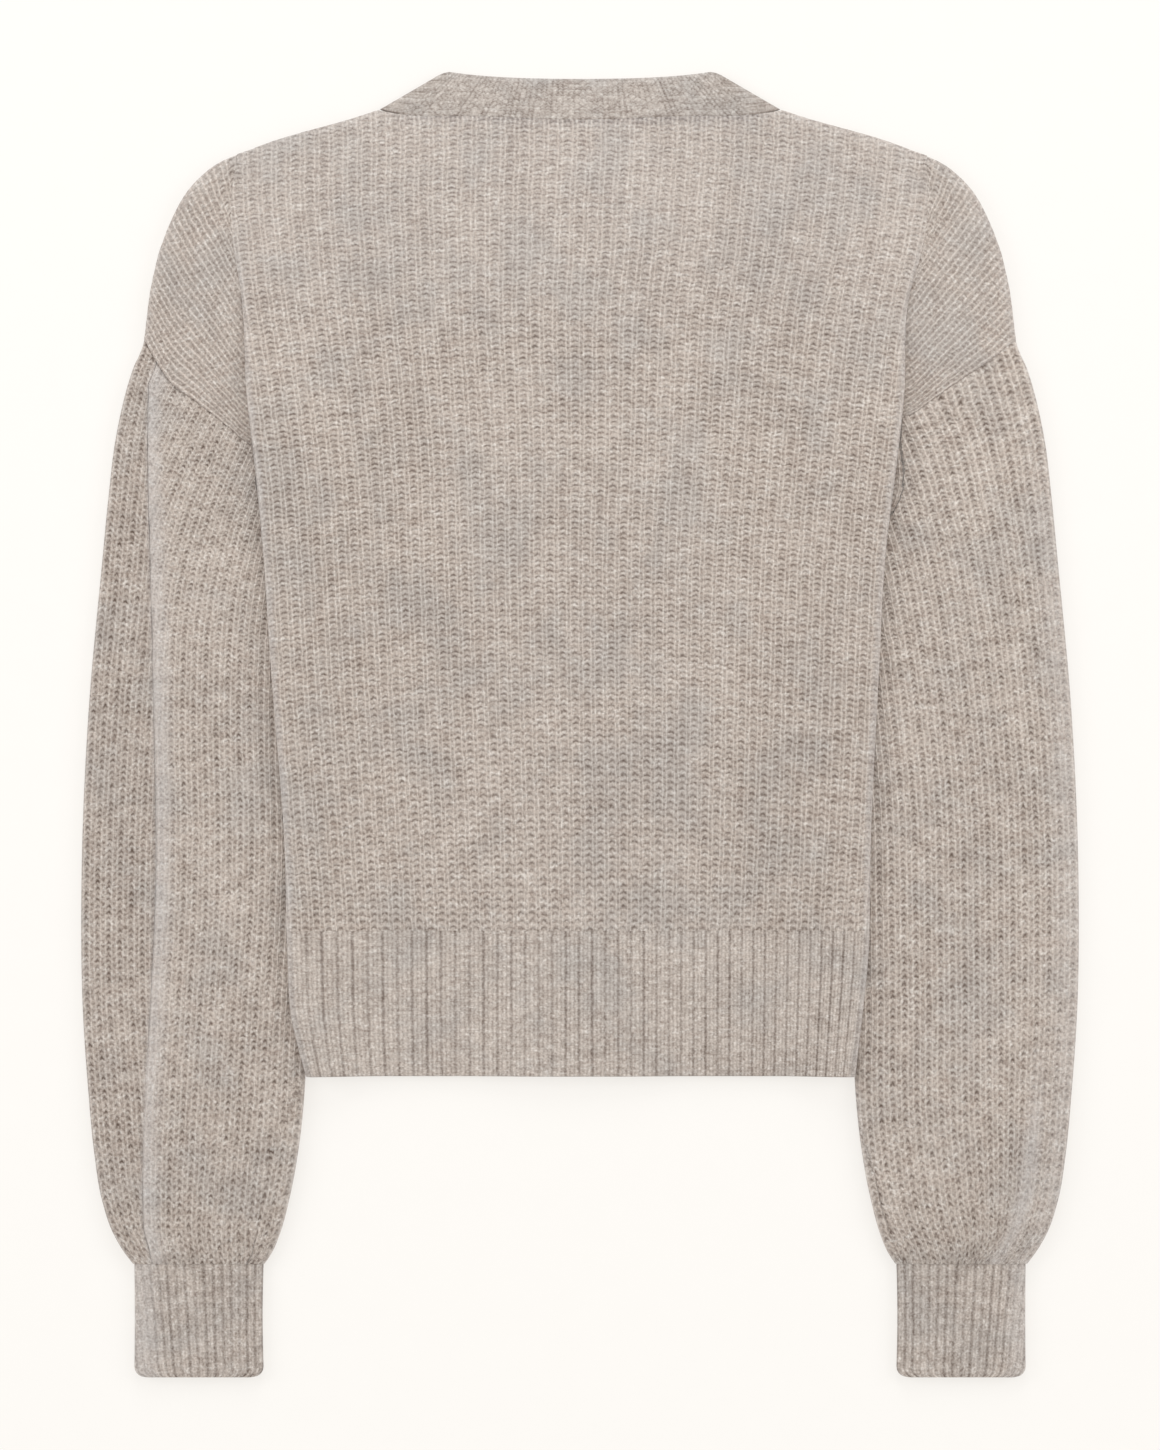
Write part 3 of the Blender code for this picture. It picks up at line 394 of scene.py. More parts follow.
neck_wool = knit_finish("neck_rib", 0.25, cool=0.28, wobble=0.35, wales=4.0, mottle=0.20, pattern=neck_rib)

# %% [markdown]
# ## The garment's form
# The sizes are the pattern's, in millimetres: half widths of the body between its folded sides, the outline
# of the shoulders, the armhole seams and the sleeves. A smooth curve is read through each table.

# %% Sizes
WALL, RIB, LAYER = 2.8, 0.7, 0.6
BACK_UNDER = WALL + LAYER
BACK_TOP = BACK_UNDER + WALL
BODY_RISE = 8.0
BAND_UNDER = 3.2 + LAYER
CENTRE_RISE = BAND_UNDER + WALL + LAYER - BACK_UNDER
HEM_SEAM_Y, HEM_Y = -113.3, -193.3
CUFF_SEAM_Y, CUFF_HEIGHT = -296.5, 6.4
LIP, TUCK, SIDE_WALL = 2.4, 3.2, 3.3
SIDE_FOOT = BODY_RISE + 0.2
BAND_HALF = 15.0
FRONT_EDGE = BAND_HALF + 0.3
SIDES = {"left": -1, "right": 1}

BODY = {  # half widths of the body between its folded sides
    "y": (312.4, 288.2, 265.0, 233.2, 178.2, 148.0, 93.5, 32.5, -69.3, -129.8, -160.0, -178.8, -193.3),
    "left": (188.1, 191.4, 190.4, 185.6, 182.4, 178.8, 173.5, 169.4, 161.7, 160.1, 158.2, 153.9, 149.9),
    "right": (190.3, 190.8, 188.8, 180.4, 177.4, 174.1, 167.4, 163.9, 159.0, 157.7, 154.6, 152.4, 150.7),
}
SHOULDER = {  # the outline from the neck round the shoulder to the armhole seam
    "along": (0.0, 10.0, 72.0, 96.0, 112.0, 138.0, 168.0, 202.5),
    "x": (111.0, 120.0, 179.2, 201.5, 213.2, 225.5, 234.5, 239.3),
    "y": (336.9, 333.9, 315.9, 306.0, 295.4, 274.0, 245.0, 211.2),
}
ARMHOLE = {  # heights of the armhole seams, from the outline to the body's side
    "across": (0.0, 0.23, 0.45, 0.70, 0.90, 1.0),
    "left": (211.2, 188.5, 178.5, 167.2, 157.0, 150.0),
    "right": (211.2, 199.5, 190.5, 180.0, 171.0, 166.5),
}
SLEEVE = {  # half widths of a sleeve's sides and of the left one's lengthwise fold, and its thickness
    "y": (211.2, 190.3, 156.2, 125.0, 88.0, 12.1, -89.7, -160.0,
          -201.3, -235.4, -261.8, -280.5, -290.4, -296.5),
    "outer": (239.6, 247.2, 255.2, 259.0, 262.6, 269.6, 273.9, 273.0, 270.1, 266.8, 262.4, 256.0, 250.2, 245.6),
    "inner": (176.0, 176.0, 176.0, 176.0, 150.5, 149.6, 149.8, 150.2, 151.2, 154.8, 159.8, 165.0, 169.2, 173.2),
    "fold": (234.0, 235.0, 236.3, 236.3, 235.6, 233.8, 232.6, 235.8, 238.2, 239.4, 239.6, 238.4, 235.6, 234.6),
    "height": (6.2, 6.3, 6.4, 6.5, 6.6, 6.6, 6.6, 6.8, 7.6, 8.6, 8.8, 8.2, 7.2, 6.8),
}
NECK_SEAM = {"x": (-111.0, -99.0, -59.4, 0.0, 59.4, 99.0, 111.0),
             "y": (336.9, 334.6, 333.6, 331.6, 333.6, 334.8, 336.9)}
NECK_FOOT, NECK_CORNER = (110.0, 337.6), (78.8, 355.7)
FOOT_INSIDE, CORNER_INSIDE = (104.6, 335.8), (73.9, 357.5)
NECK_EDGE, NECK_EDGE_Y, NECK_EDGE_RISE = 73.0, 354.4, 3.7
FRONT_NECK_Y, FRONT_SEAM_Y = 270.0, 247.0


def read(table, key, value):
    """A function that runs smoothly through one column of a table, by another column."""
    xs, ys = np.array(sorted(zip(table[key], table[value]))).T
    slopes = np.gradient(ys, xs)

    def at(x):
        x = np.asarray(x, float)
        i = np.clip(np.searchsorted(xs, x) - 1, 0, len(xs) - 2)
        step = xs[i + 1] - xs[i]
        t = np.clip((x - xs[i]) / step, 0, 1)
        start = (1 + 2 * t) * (1 - t) ** 2 * ys[i] + t * (1 - t) ** 2 * step * slopes[i]
        return start + t * t * (3 - 2 * t) * ys[i + 1] - t * t * (1 - t) * step * slopes[i + 1]

    return at


def mix(a, b, t):
    """The value a share t of the way from a to b."""
    return a + (b - a) * t


def ease(low, high, value):
    """0 up to low, 1 from high, and soft between. low may be the higher one."""
    t = np.clip((value - low) / (high - low), 0, 1)
    return t * t * (3 - 2 * t)


body_half = {side: read(BODY, "y", side) for side in SIDES}
shoulder_x, shoulder_y = read(SHOULDER, "along", "x"), read(SHOULDER, "along", "y")
shoulder_at = read(SHOULDER, "x", "y")
neck_seam_y = read(NECK_SEAM, "x", "y")
sleeve_outer, sleeve_inner = read(SLEEVE, "y", "outer"), read(SLEEVE, "y", "inner")
sleeve_fold, sleeve_height = read(SLEEVE, "y", "fold"), read(SLEEVE, "y", "height")


def lift(y):
    """How far the body's sides have risen over what lies under them."""
    return ease(292.0, 152.0, y)


def side_ramp(x):
    """How much of that rise a place has, from the middle of the body out to its sides."""
    return ease(108.0, 147.0, np.abs(x))


def back_top(x, y):
    """Height of the back's upper face, without its ribs."""
    over_bands = CENTRE_RISE * ease(62.0, 17.0, np.abs(x)) * ease(322.0, 276.0, y)
    return BACK_TOP + BODY_RISE * lift(y) * side_ramp(x) + over_bands


def front_under(side, x, y):
    """Height of a front's lower face. The left front lies over the right band."""
    over_sleeve = BODY_RISE * side_ramp(x) * ease(147.0, 122.0, y)
    over_band = BAND_UNDER * ease(50.0, 19.0, np.abs(x)) if side == "left" else 0.0
    return over_sleeve + over_band


def grid(*parts):
    """Points from arrays of x, y and z, stretched to one shape."""
    return np.stack(np.broadcast_arrays(*[np.asarray(part, float) for part in parts]), axis=-1)


# %% [markdown]
# ## Making a wall of cloth
# A piece is planned as a fine grid for the side that shows and a coarser one for the other side. Both have
# the same columns, so the two join along the rim into one closed wall. Each corner of a face keeps its
# counts of ribs and rows, which the stitches are drawn from.

# %% Cloth
class Cloth:
    """The points, faces, counts and marks of a piece, up to its mesh."""

    def __init__(self):
        self.points, self.faces, self.counts = [], [], []
        self.marks = {mark: [] for mark in MARKS}
        self.size = 0

    def add(self, points, marks=()):
        """Adds a grid of points and returns their numbers."""
        start = self.size
        shape = points.shape[:2]
        self.points.append(points.reshape(-1, 3))
        for mark, values in self.marks.items():
            values.append(np.broadcast_to(dict(marks).get(mark, 0.0), shape).reshape(-1))
        self.size += shape[0] * shape[1]
        return start + np.arange(shape[0] * shape[1]).reshape(shape)

    def weave(self, places, counts, turned=False):
        """Quads over a grid of numbered points, with a grid of counts."""
        def corners(a):
            four = np.stack([a[:-1, :-1], a[1:, :-1], a[1:, 1:], a[:-1, 1:]], axis=2)
            return four.reshape(-1, 4, *a.shape[2:])

        quads, maps = corners(places), corners(counts)
        if turned:
            quads, maps = quads[:, ::-1], maps[:, ::-1]
        self.faces += quads.tolist()
        self.counts.append(maps.reshape(-1, 2))

    def fan(self, tip, tip_count, line, line_counts, turned):
        """Triangles from one point to a line of points."""
        for i in range(len(line) - 1):
            face = [tip, line[i], line[i + 1]]
            maps = np.array([tip_count, line_counts[i], line_counts[i + 1]])
            self.faces.append(face[::-1] if turned else face)
            self.counts.append(maps[::-1] if turned else maps)

    def both_faces(self, upper, lower, counts, keep):
        """The fine face, the coarse one and the two ends between them."""
        self.weave(upper, counts)
        self.weave(lower, counts[keep], turned=True)
        for row, end in ((0, True), (-1, False)):
            self.weave(np.stack([upper[row], lower[row]]), np.stack([counts[row], counts[row]]), turned=end)

    def side(self, top, counts, under, keep, turned):
        """Closes one side of a panel, between a fine column and a coarse one."""
        for i in range(len(keep) - 1):
            first, last = keep[i], keep[i + 1]
            middle = (first + last) // 2
            self.fan(under[i], counts[first], top[first:middle + 1], counts[first:middle + 1], turned)
            self.fan(under[i], counts[first], [top[middle], under[i + 1]], [counts[middle], counts[last]],
                     turned)
            self.fan(under[i + 1], counts[last], top[middle:last + 1], counts[middle:last + 1], turned)

    def panel(self, top, under, counts, marks=(), step=8):
        """A closed panel. Of the under side it keeps one row in each step, and the last."""
        keep = sorted({*range(0, len(top), step), len(top) - 1})
        upper, lower = self.add(top, marks), self.add(under[keep])
        self.both_faces(upper, lower, counts, keep)
        self.side(upper[:, 0], counts[:, 0], lower[:, 0], keep, True)
        self.side(upper[:, -1], counts[:, -1], lower[:, -1], keep, False)

    def tube(self, outer, inner, counts, marks=(), step=12):
        """A closed wall round a tube. Its columns go round, and counts has one column more."""
        keep = sorted({*range(0, len(outer), step), len(outer) - 1})
        around = np.r_[0:outer.shape[1], 0]
        upper, lower = self.add(outer, marks)[:, around], self.add(inner[keep])[:, around]
        self.both_faces(upper, lower, counts, keep)

    def cut(self, name, wool, mirrored=False):
        """The finished object, in metres. A mirrored one gets its faces turned outward again."""
        mesh = bpy.data.meshes.new(name)
        points = np.concatenate(self.points) * MM
        mesh.from_pydata(points.tolist(), [], self.faces)
        knit = mesh.uv_layers.new(name="Knit")
        knit.data.foreach_set("uv", np.concatenate(self.counts).astype(np.float32).reshape(-1))
        for mark, values in self.marks.items():
            mesh.attributes.new(mark, "FLOAT", "POINT").data.foreach_set(
                "value", np.concatenate(values).astype(np.float32))
        mesh.materials.append(wool)
        if mirrored:
            mesh.flip_normals()
        mesh.validate()
        mesh.shade_smooth()
        mesh.set_sharp_from_angle(angle=math.radians(50))
        piece = bpy.data.objects.new(name, mesh)
        bpy.context.scene.collection.objects.link(piece)
        built = bmesh.new()
        built.from_mesh(mesh)
        volume = built.calc_volume(signed=True) * 1e6
        open_edges = sum(not edge.is_manifold for edge in built.edges)
        area = sum(face.calc_area() for face in built.faces) / 2
        built.free()
        count = sum(len(face) - 2 for face in self.faces)
        print(f"{name}: {count} triangles, {volume:.0f} cm3, {area:.4f} m2 of cloth, {open_edges} open edges")
        return piece


def sew_panel(name, wool, top, under, counts, marks=(), step=8):
    cloth = Cloth()
    cloth.panel(top, under, counts, marks, step)
    return cloth.cut(name, wool)


def hang(piece, slot, *nodes):
    """Puts a finished piece in the place of its solids."""
    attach(piece, "root")
    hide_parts(*nodes)


# %% [markdown]
# ## Back
# The back is one ribbed panel. From the shoulders its sides fold over in a soft roll and lie on the sleeves.
# The drop shoulders leave the pleat at an angle, run in under that roll and carry on to the armhole seams.

# %% Rows and ribs of the back
ROW_PITCH = {"y": (340.0, 298.0, 254.0, 192.0, 118.0, 34.0, -9.0, -54.0, -86.0, -120.0),
             "mm": (2.6, 2.64, 2.80, 2.95, 2.90, 3.12, 3.42, 3.80, 3.96, 4.0)}
RIB_PITCH = {"y": (340.0, 290.0, 200.0, 123.0, 0.0, -113.3), "mm": (7.9, 7.8, 7.2, 6.8, 6.5, 6.2)}
MIDDLE_RIB, ROW_DROOP = 25.5, 0.00044


def row_counter(pitch, top_y, bottom_y, steps):
    """A function that counts the rows of knit down to a height, from a table of their pitch."""
    heights = np.linspace(top_y, bottom_y, steps)
    totals = np.concatenate([[0.0], np.cumsum(np.diff(-heights) / read(pitch, "y", "mm")(heights[:-1]))])
    return lambda y: np.interp(-y, -heights, totals)


back_rows, rib_pitch = row_counter(ROW_PITCH, 345.0, -120.0, 700), read(RIB_PITCH, "y", "mm")


def back_counts(x, y):
    """Ribs and rows at a place on the back. The rows droop towards the sides."""
    middle = (body_half["right"](y) - body_half["left"](y)) / 2
    droop = ROW_DROOP * x * x * ease(-113.0, -50.0, y)
    return grid(MIDDLE_RIB + (x - middle) / rib_pitch(y), back_rows(y + droop))


def knit_ridge(ribs):
    """Height of the back's rib: a ridge along each knit column, and a low swell of purl between."""
    off = np.abs(ribs - np.round(ribs))
    return RIB * (np.exp(-((off / 0.17) ** 2)) + 0.25 * np.exp(-(((0.5 - off) / 0.2) ** 2)))


def outline_y(x):
    """Height of the back's upper outline: the neck's seam, and the shoulders beside it."""
    return np.where(np.abs(x) < SHOULDER["x"][0], neck_seam_y(x), shoulder_at(np.abs(x)))


def flat_sides(y):
    """Where the flat part between the two rolled sides starts and ends."""
    return LIP - body_half["left"](y), body_half["right"](y) - LIP


def from_fold(x, y):
    """How far a place lies from the nearer folded side."""
    return np.minimum(x + body_half["left"](y), body_half["right"](y) - x)


# %% Rolled sides of the body and the hem
ROLL = np.radians([0, 25, 50, 72])
TURN = len(ROLL) + 1
UNDERARM_Y, TUCKED_Z = 148.0, 3.4


def rolled_side(side, y, turned, at_top=0.0):
    """The roll at one side: its foot, then points round the fold. At the top it follows the outline."""
    half, up = body_half[side](y), lift(y)
    high = BACK_TOP + BODY_RISE * up
    drop = np.minimum(LIP, high - BACK_TOP)
    x = half - LIP + LIP * np.cos(ROLL)[None, :]
    z = high - drop + drop * np.sin(ROLL)[None, :] - turned + 0.3 * (1 - ease(0.0, 0.3, up))
    foot_z = np.where(y > UNDERARM_Y, BACK_TOP + 0.3 - 1.3 * ease(0.12, 0.0, up),
                      SIDE_FOOT - ease(92.0, 108.0, y))
    y = y - (outline_y(half[0] - LIP) - outline_y(x[:1])) * at_top
    foot = grid(half - 0.4, y[:, :1], np.minimum(foot_z, high - drop - 0.05))
    roll = np.concatenate([foot, grid(x, y, z)], axis=1) * (SIDES[side], 1, 1)
    return roll if side == "left" else roll[:, ::-1]


def under_rolled(top, uneven=0.0, foot_in=0.0):
    """The under side of a rolled panel. Under the arm its foot reaches down beside the sleeve."""
    y = top[..., 1]
    columns = y.shape[1]
    t = np.clip((np.arange(columns) - TURN) / (columns - 1 - 2 * TURN), 0, 1)[None, :]
    inset = SIDE_WALL + 0.6
    x = mix(inset - body_half["left"](y), body_half["right"](y) - inset, (1 + uneven) * t - uneven * t * t)
    z = back_top(x, y) - WALL
    for i in range(TURN):
        for side, sign in SIDES.items():
            c, outermost, inmost = (i, 0, TURN) if side == "left" else (-1 - i, -1, -1 - TURN)
            x[:, c] = sign * (body_half[side](y[:, c]) - SIDE_WALL - max(0.5 * i / TURN, foot_in))
            z[:, c] = mix(top[:, outermost, 2], BACK_UNDER + BODY_RISE * lift(y[:, inmost]), i / TURN)
            if i == 0:
                z[:, c] -= (z[:, c] - TUCKED_Z) * ease(110.0, 122.0, y[:, c]) * ease(152.0, 147.0, y[:, c])
    return grid(x, y, z)


# %% Body of the back
back = Cloth()
RIBS_ACROSS, BODY_ROWS = 50, 150
shares = np.linspace(0, 1, 6 * RIBS_ACROSS + 1)


def body_grid():
    top_y = np.full(len(shares), 320.0)
    for _ in range(20):
        top_y = outline_y(mix(*flat_sides(top_y), shares))
    down = np.linspace(0, 1, BODY_ROWS)[:, None]
    down[1] = 0.3 * down[1]
    flat_y = mix(top_y[None, :], HEM_SEAM_Y - 0.1, down)
    left, right = flat_sides(flat_y)
    flat_x = mix(left, right, shares[None, :])
    counts = back_counts(flat_x, flat_y)
    turned = np.where(down < 0.001, 0.5, 0.0)
    in_band = ease(112.0, 104.0, np.abs(flat_x))
    joined = ease(3.0, 0.0, np.minimum(flat_x - left, right - flat_x))
    ridge = mix(knit_ridge(counts[..., 0]), 0.3 * (1 - ease(0.0, 0.3, lift(flat_y))), joined)
    flat_z = back_top(flat_x, flat_y) + ridge - turned * (1 - 0.8 * in_band)
    flat = grid(flat_x, flat_y, flat_z)
    rolls = {side: rolled_side(side, flat_y[:, edge][:, None], turned, ease(0.10, 0.0, down))
             for side, edge in (("left", 0), ("right", -1))}
    roll_counts = {side: back_counts(roll[..., 0], roll[..., 1]) for side, roll in rolls.items()}
    return (np.concatenate([rolls["left"], flat, rolls["right"]], axis=1),
            np.concatenate([roll_counts["left"], counts, roll_counts["right"]], axis=1))


body_points, body_counts = body_grid()


def fold_fuzz_and_sheen(x, y):
    """Fuzz where the cloth rolls over, at the folded sides and the outline, painted pale and cool as painted
    sheen, and more of it over the top of the back.
    """
    rolled = 0.55 * ease(5.0, 1.5, from_fold(x, y)) * ease(0.02, 0.2, lift(y))
    upper_back = 0.34 * ease(150.0, 310.0, y) * ease(0.30, 0.0, rolled)
    return np.maximum(rolled, 0.30 * ease(5.0, 0.0, outline_y(x) - y)) + upper_back


def neck_stitches(x, y):
    """The row of joining stitches under the neckband."""
    return ease(3.4, 1.2, neck_seam_y(x) - y) * ease(106.0, 98.0, np.abs(x))


body_under = under_rolled(body_points, foot_in=0.1)
body_under[0, :, 2] = np.minimum(body_under[0, :, 2], body_points[0, :, 2] - 1.0)
body_x, body_y = body_points[..., 0], body_points[..., 1]
# Painted sheen of the fuzz at the rolled sides and the outline, and less contrast in the middle; the shade mark
# darkens the back a little towards the top.
back.panel(body_points, body_under, body_counts,
           {"haze": np.maximum(fold_fuzz_and_sheen(body_x, body_y), 0.08 * ease(100.0, 45.0, np.abs(body_x))),
            "seam": neck_stitches(body_x, body_y),
            "pull": 0.12 * ease(65.0, 110.0, np.abs(body_x)) * ease(170.0, 80.0, body_y),
            "shade": 0.01 + 0.02 * ease(140.0, 290.0, body_y)})

# %% Drop shoulders
SHOULDER_RIBS, PLEAT_TIP, LAST_RIB_Y = 14, 81.0, 285.0
SHOULDER_LEAN, SHOULDER_ROW_MM = math.radians(38), 2.9
armhole_y = {side: read(ARMHOLE, "across", side) for side in SIDES}


def armhole_place(side, across):
    """A place on the armhole's seam, from the outline (0) to where it runs in under the body (1)."""
    end_y = ARMHOLE[side][-1]
    beside = body_half[side](end_y) + 1.6
    line_x = [mix(SHOULDER["x"][-1], beside, place) for place in ARMHOLE["across"]]
    line_x[-1] = body_half[side](end_y) - TUCK
    return np.interp(across, ARMHOLE["across"], line_x), armhole_y[side](across)


def shoulder_grid(side):
    """Points, counts and marks of a drop shoulder. share goes up from its lowest rib to the pleat's tip."""
    sign = SIDES[side]
    seam_end = ARMHOLE[side][-1]
    count, rows = 6 * SHOULDER_RIBS + 1, 46
    share = np.linspace(0, 1, count)[None, :]
    along = np.linspace(0, 1, rows)[:, None]
    start = mix(SHOULDER["along"][-1], PLEAT_TIP, share)
    start_x, start_y = shoulder_x(start), shoulder_y(start)
    end_y = mix(seam_end, LAST_RIB_Y, share**1.45)
    end_x = body_half[side](end_y) - TUCK
    seam_x, seam_y = armhole_place(side, along)
    x = mix(start_x, end_x, along) + (seam_x - mix(start_x[:, :1], end_x[:, :1], along)) * (1 - share) ** 2
    y = mix(start_y, end_y, along) + (seam_y - mix(SHOULDER["y"][-1], seam_end, along)) * (1 - share) ** 2
    ribs = SHOULDER_RIBS * share + 0 * along
    mm_down = (240.0 - x) * math.sin(SHOULDER_LEAN) + (340.0 - y) * math.cos(SHOULDER_LEAN)
    turned = 1.6 * (along < 0.001)
    at_seam = 0.15 * ease(0.012, 0.0, share)
    beside = x - body_half[side](y)
    under_roll = 1.1 * ease(-0.3, -1.0, beside) * ease(0.25, 0.05, lift(y))
    joined = ease(4.0, 0.0, beside) * (1 - ease(0.0, 0.3, lift(y)))
    z = BACK_TOP + mix(knit_ridge(ribs), 0.3, joined) - turned - at_seam - under_roll
    # Painted sheen of the fuzz over the whole shoulder, stronger along the shoulder's outline.
    haze = 0.13 + 0.35 * ease(9.0, 0.0, np.hypot(x - start_x, y - start_y))
    seam = ease(0.008, 0.003, share) * ease(0.02, 0.2, along)
    points, counts = grid(sign * x, y, z), grid(ribs, mm_down / SHOULDER_ROW_MM)
    order = slice(None, None, -sign)
    pull = ease(-2.0, 16.0, beside + 24.0 * lift(y))
    marks = {"haze": haze, "seam": seam, "pull": pull, "shade": 0.03 + 0 * haze}
    return points[:, order], counts[:, order], {mark: values[:, order] for mark, values in marks.items()}


for side in SIDES:
    wing_points, wing_counts, wing_marks = shoulder_grid(side)
    wing_under = grid(wing_points[..., 0], wing_points[..., 1], BACK_UNDER)
    back.panel(wing_points, wing_under, wing_counts, wing_marks)

back_piece = back.cut("back_panel", back_wool)
hang(back_piece, "knit", "back")

# %% [markdown]
# ## Back hem
# A deep band of fine rib, knitted tighter than the body, so its lower corners draw in. The ribs bend inward
# with them, and the lower edge is dead straight.

# %% Back hem
HEM_RIBS, UNEVEN, HEM_STEPS, BEND_MM = 44, 0.19, 44, 26
TRIM_ROW_MM, HEM_GROOVE = 1.7, 0.18


def trim_ridge(ribs, groove, height=0.6 * RIB):
    """Height of a trim's flat rib, with a groove on each whole number."""
    return height * (1 - np.exp(-(((ribs - np.round(ribs)) / groove) ** 2)))


def hem_grid():
    t = np.linspace(0, 1, 6 * HEM_RIBS + 1)
    even = (1 + UNEVEN) * t - UNEVEN * t * t
    down = np.linspace(0, 1, HEM_STEPS)[:, None]
    down[1], down[-2] = 0.3 * down[1], 1 - 0.3 * down[1]
    y = mix(HEM_SEAM_Y + 0.1, HEM_Y, down) + 0 * t[None, :]
    left, right = flat_sides(y)
    x = mix(left[:1], right[:1], even[None, :])
    x = (x + (left - left[:1]) * np.exp((left[:1] - x) / BEND_MM)
         + (right - right[:1]) * np.exp((x - right[:1]) / BEND_MM))
    ribs = HEM_RIBS * t[None, :] + 0 * y
    edge = 0.9 * (down > 0.999)
    z = back_top(x, y) + trim_ridge(ribs, HEM_GROOVE) - edge
    rolls = {side: rolled_side(side, y[:, end][:, None], edge) for side, end in (("left", 0), ("right", -1))}
    points = np.concatenate([rolls["left"], grid(x, y, z), rolls["right"]], axis=1)
    outer = np.linspace(-0.55, -0.05, TURN)
    all_ribs = np.concatenate([outer, HEM_RIBS * t, HEM_RIBS - outer[::-1]])[None, :]
    return points, grid(all_ribs, (HEM_SEAM_Y - points[..., 1]) / TRIM_ROW_MM)


hem_points, hem_counts = hem_grid()
# Painted sheen of the fuzz where the hem rolls over at its sides.
hem_marks = {"haze": 0.5 * ease(5.0, 1.0, from_fold(hem_points[..., 0], hem_points[..., 1]))}
hem_piece = sew_panel("hem_back_rib", hem_wool, hem_points, under_rolled(hem_points, UNEVEN), hem_counts,
                      hem_marks)
hang(hem_piece, "trim", "hem_back")

# %% [markdown]
# ## Sleeves
# Each sleeve is a full tube that lies flat. Its ribs leave the armhole seam at a slant and straighten
# lower down, where the cloth puffs out over the cuff in soft gathers. The left one has folded over on itself
# lengthwise, so its outer strip lies lower, in the fold's shade. The right one swells softly instead. Beside
# the hem a slim gusset turns another way, and underneath a shallow trough runs along each sleeve.

# %% Flattened tubes
def flat_ring(turn, across, steps_below):
    """Places round a flattened tube, as shares of its width: over the top, then back underneath."""
    arc = turn * (1 - np.cos(np.radians([0, 30, 55, 75])))
    top = np.concatenate([arc, across, 1 - arc[::-1]])
    below = np.concatenate([1 - arc[1:], np.linspace(1 - turn, turn, steps_below), arc[:0:-1]])
    share = np.concatenate([top, below])
    upper = np.arange(len(share)) < len(top)
    to_fold = np.clip(np.minimum(share, 1 - share) / turn, 0, 1)
    fullness = np.sqrt(np.clip(1 - (1 - to_fold) ** 2, 0, 1))
    inner = np.clip(share, 1.6 * turn, 1 - 1.6 * turn) + 1e-5 * np.arange(len(share)) * np.where(upper, 1, -1)
    return share, upper, fullness, inner


def sew_tube(name, side, wool, rings):
    """Joins rings into a tube. Each holds its outer points, inner points, counts and marks."""
    outer, inner, counts, marks = zip(*rings)
    turned, counts = (SIDES[side], 1, 1), np.array(counts)
    counts = np.concatenate([counts, counts[:, :1]], axis=1)
    cloth = Cloth()
    cloth.tube(np.array(outer) * turned, np.array(inner) * turned, counts,
               {mark: np.array([ring[mark] for ring in marks]) for mark in marks[0]})
    return cloth.cut(name, wool, mirrored=side == "right")


# %% Sleeve sections
SLEEVE_RIBS, FIRST_LEVEL = 18, 88.0
SLANT = {"y": (-400.0, -60.0, 20.0, 50.0, 80.0, 110.0, 150.0, 190.0, 230.0),
         "mm": (0.0, 0.0, 0.6, 2.6, 7.5, 16.0, 32.0, 50.0, 68.0)}
slant = read(SLANT, "y", "mm")
PITCH = {"y": (-310.0, -296.5, -270.0, -230.0, -150.0, 230.0), "mm": (5.1, 5.2, 5.8, 6.2, 6.3, 6.3)}
sleeve_pitch = read(PITCH, "y", "mm")
LOOP_PITCH = {"y": (-310.0, -260.0, -200.0, -100.0, 0.0, 120.0, 230.0),
              "mm": (4.1, 4.1, 3.75, 3.35, 3.3, 3.1, 2.9)}
sleeve_rows = row_counter(LOOP_PITCH, 340.0, -400.0, 900)
ROW_TILT, PITCH_SCALE = {"left": 0.02, "right": -0.08}, {"left": 0.97, "right": 1.05}
FOLD_STEP, STRIP_RIBS, STRIP_HEIGHT, FOLD_RISE = 0.004, 5, 5.9, 1.8
GUSSET_RIB, GATHERS, GATHER_MM = 18.9, 6.2, 0.7
TROUGH_AT, TROUGH_MM = {"left": 0.42, "right": 0.54}, 0.8
GUSSET = {"y": (-310.0, -296.0, -281.0, -266.0, -242.0, -221.0, -201.0, -192.0, -170.0, 230.0),
          "left": (7.0, 9.5, 12.5, 15.0, 16.0, 10.5, 3.5, 0.0, 0.0, 0.0),
          "right": (3.5, 5.0, 5.5, 5.0, 4.0, 0.0, 0.0, 0.0, 0.0, 0.0)}
gusset = {side: read(GUSSET, "y", side) for side in SIDES}


def inner_half(side, y):
    """The sleeve's inner side. Above FIRST_LEVEL it lies hidden under the body."""
    hidden = np.minimum(sleeve_inner(y), body_half[side](y) - TUCK + 0.5)
    return np.where(y > FIRST_LEVEL, hidden, sleeve_inner(y))


def sleeve_place(side, level, share):
    """x and y over a sleeve. level is 0 to 1 between the armhole seam and the first straight row."""
    if level > 1 or level < 0:
        return mix(sleeve_outer(level), inner_half(side, level), share), level + 0 * share
    seam_x, seam_y = armhole_place(side, share)
    outer_y, inner_y = mix(SHOULDER["y"][-1], FIRST_LEVEL, level), mix(ARMHOLE[side][-1], FIRST_LEVEL, level)
    first = mix(sleeve_outer(FIRST_LEVEL), inner_half(side, FIRST_LEVEL), share)
    x = mix(seam_x, first, level)
    outer_line = mix(SHOULDER["x"][-1], sleeve_outer(FIRST_LEVEL), level)
    inner_line = mix(armhole_place(side, 1.0)[0], inner_half(side, FIRST_LEVEL), level)
    grown = min(1, 9 * level)
    x = x + (1 - share) * (sleeve_outer(outer_y) - outer_line) * grown
    x = x + share * (inner_half(side, inner_y) - inner_line) * grown
    return x, mix(seam_y - 0.04, FIRST_LEVEL, level)


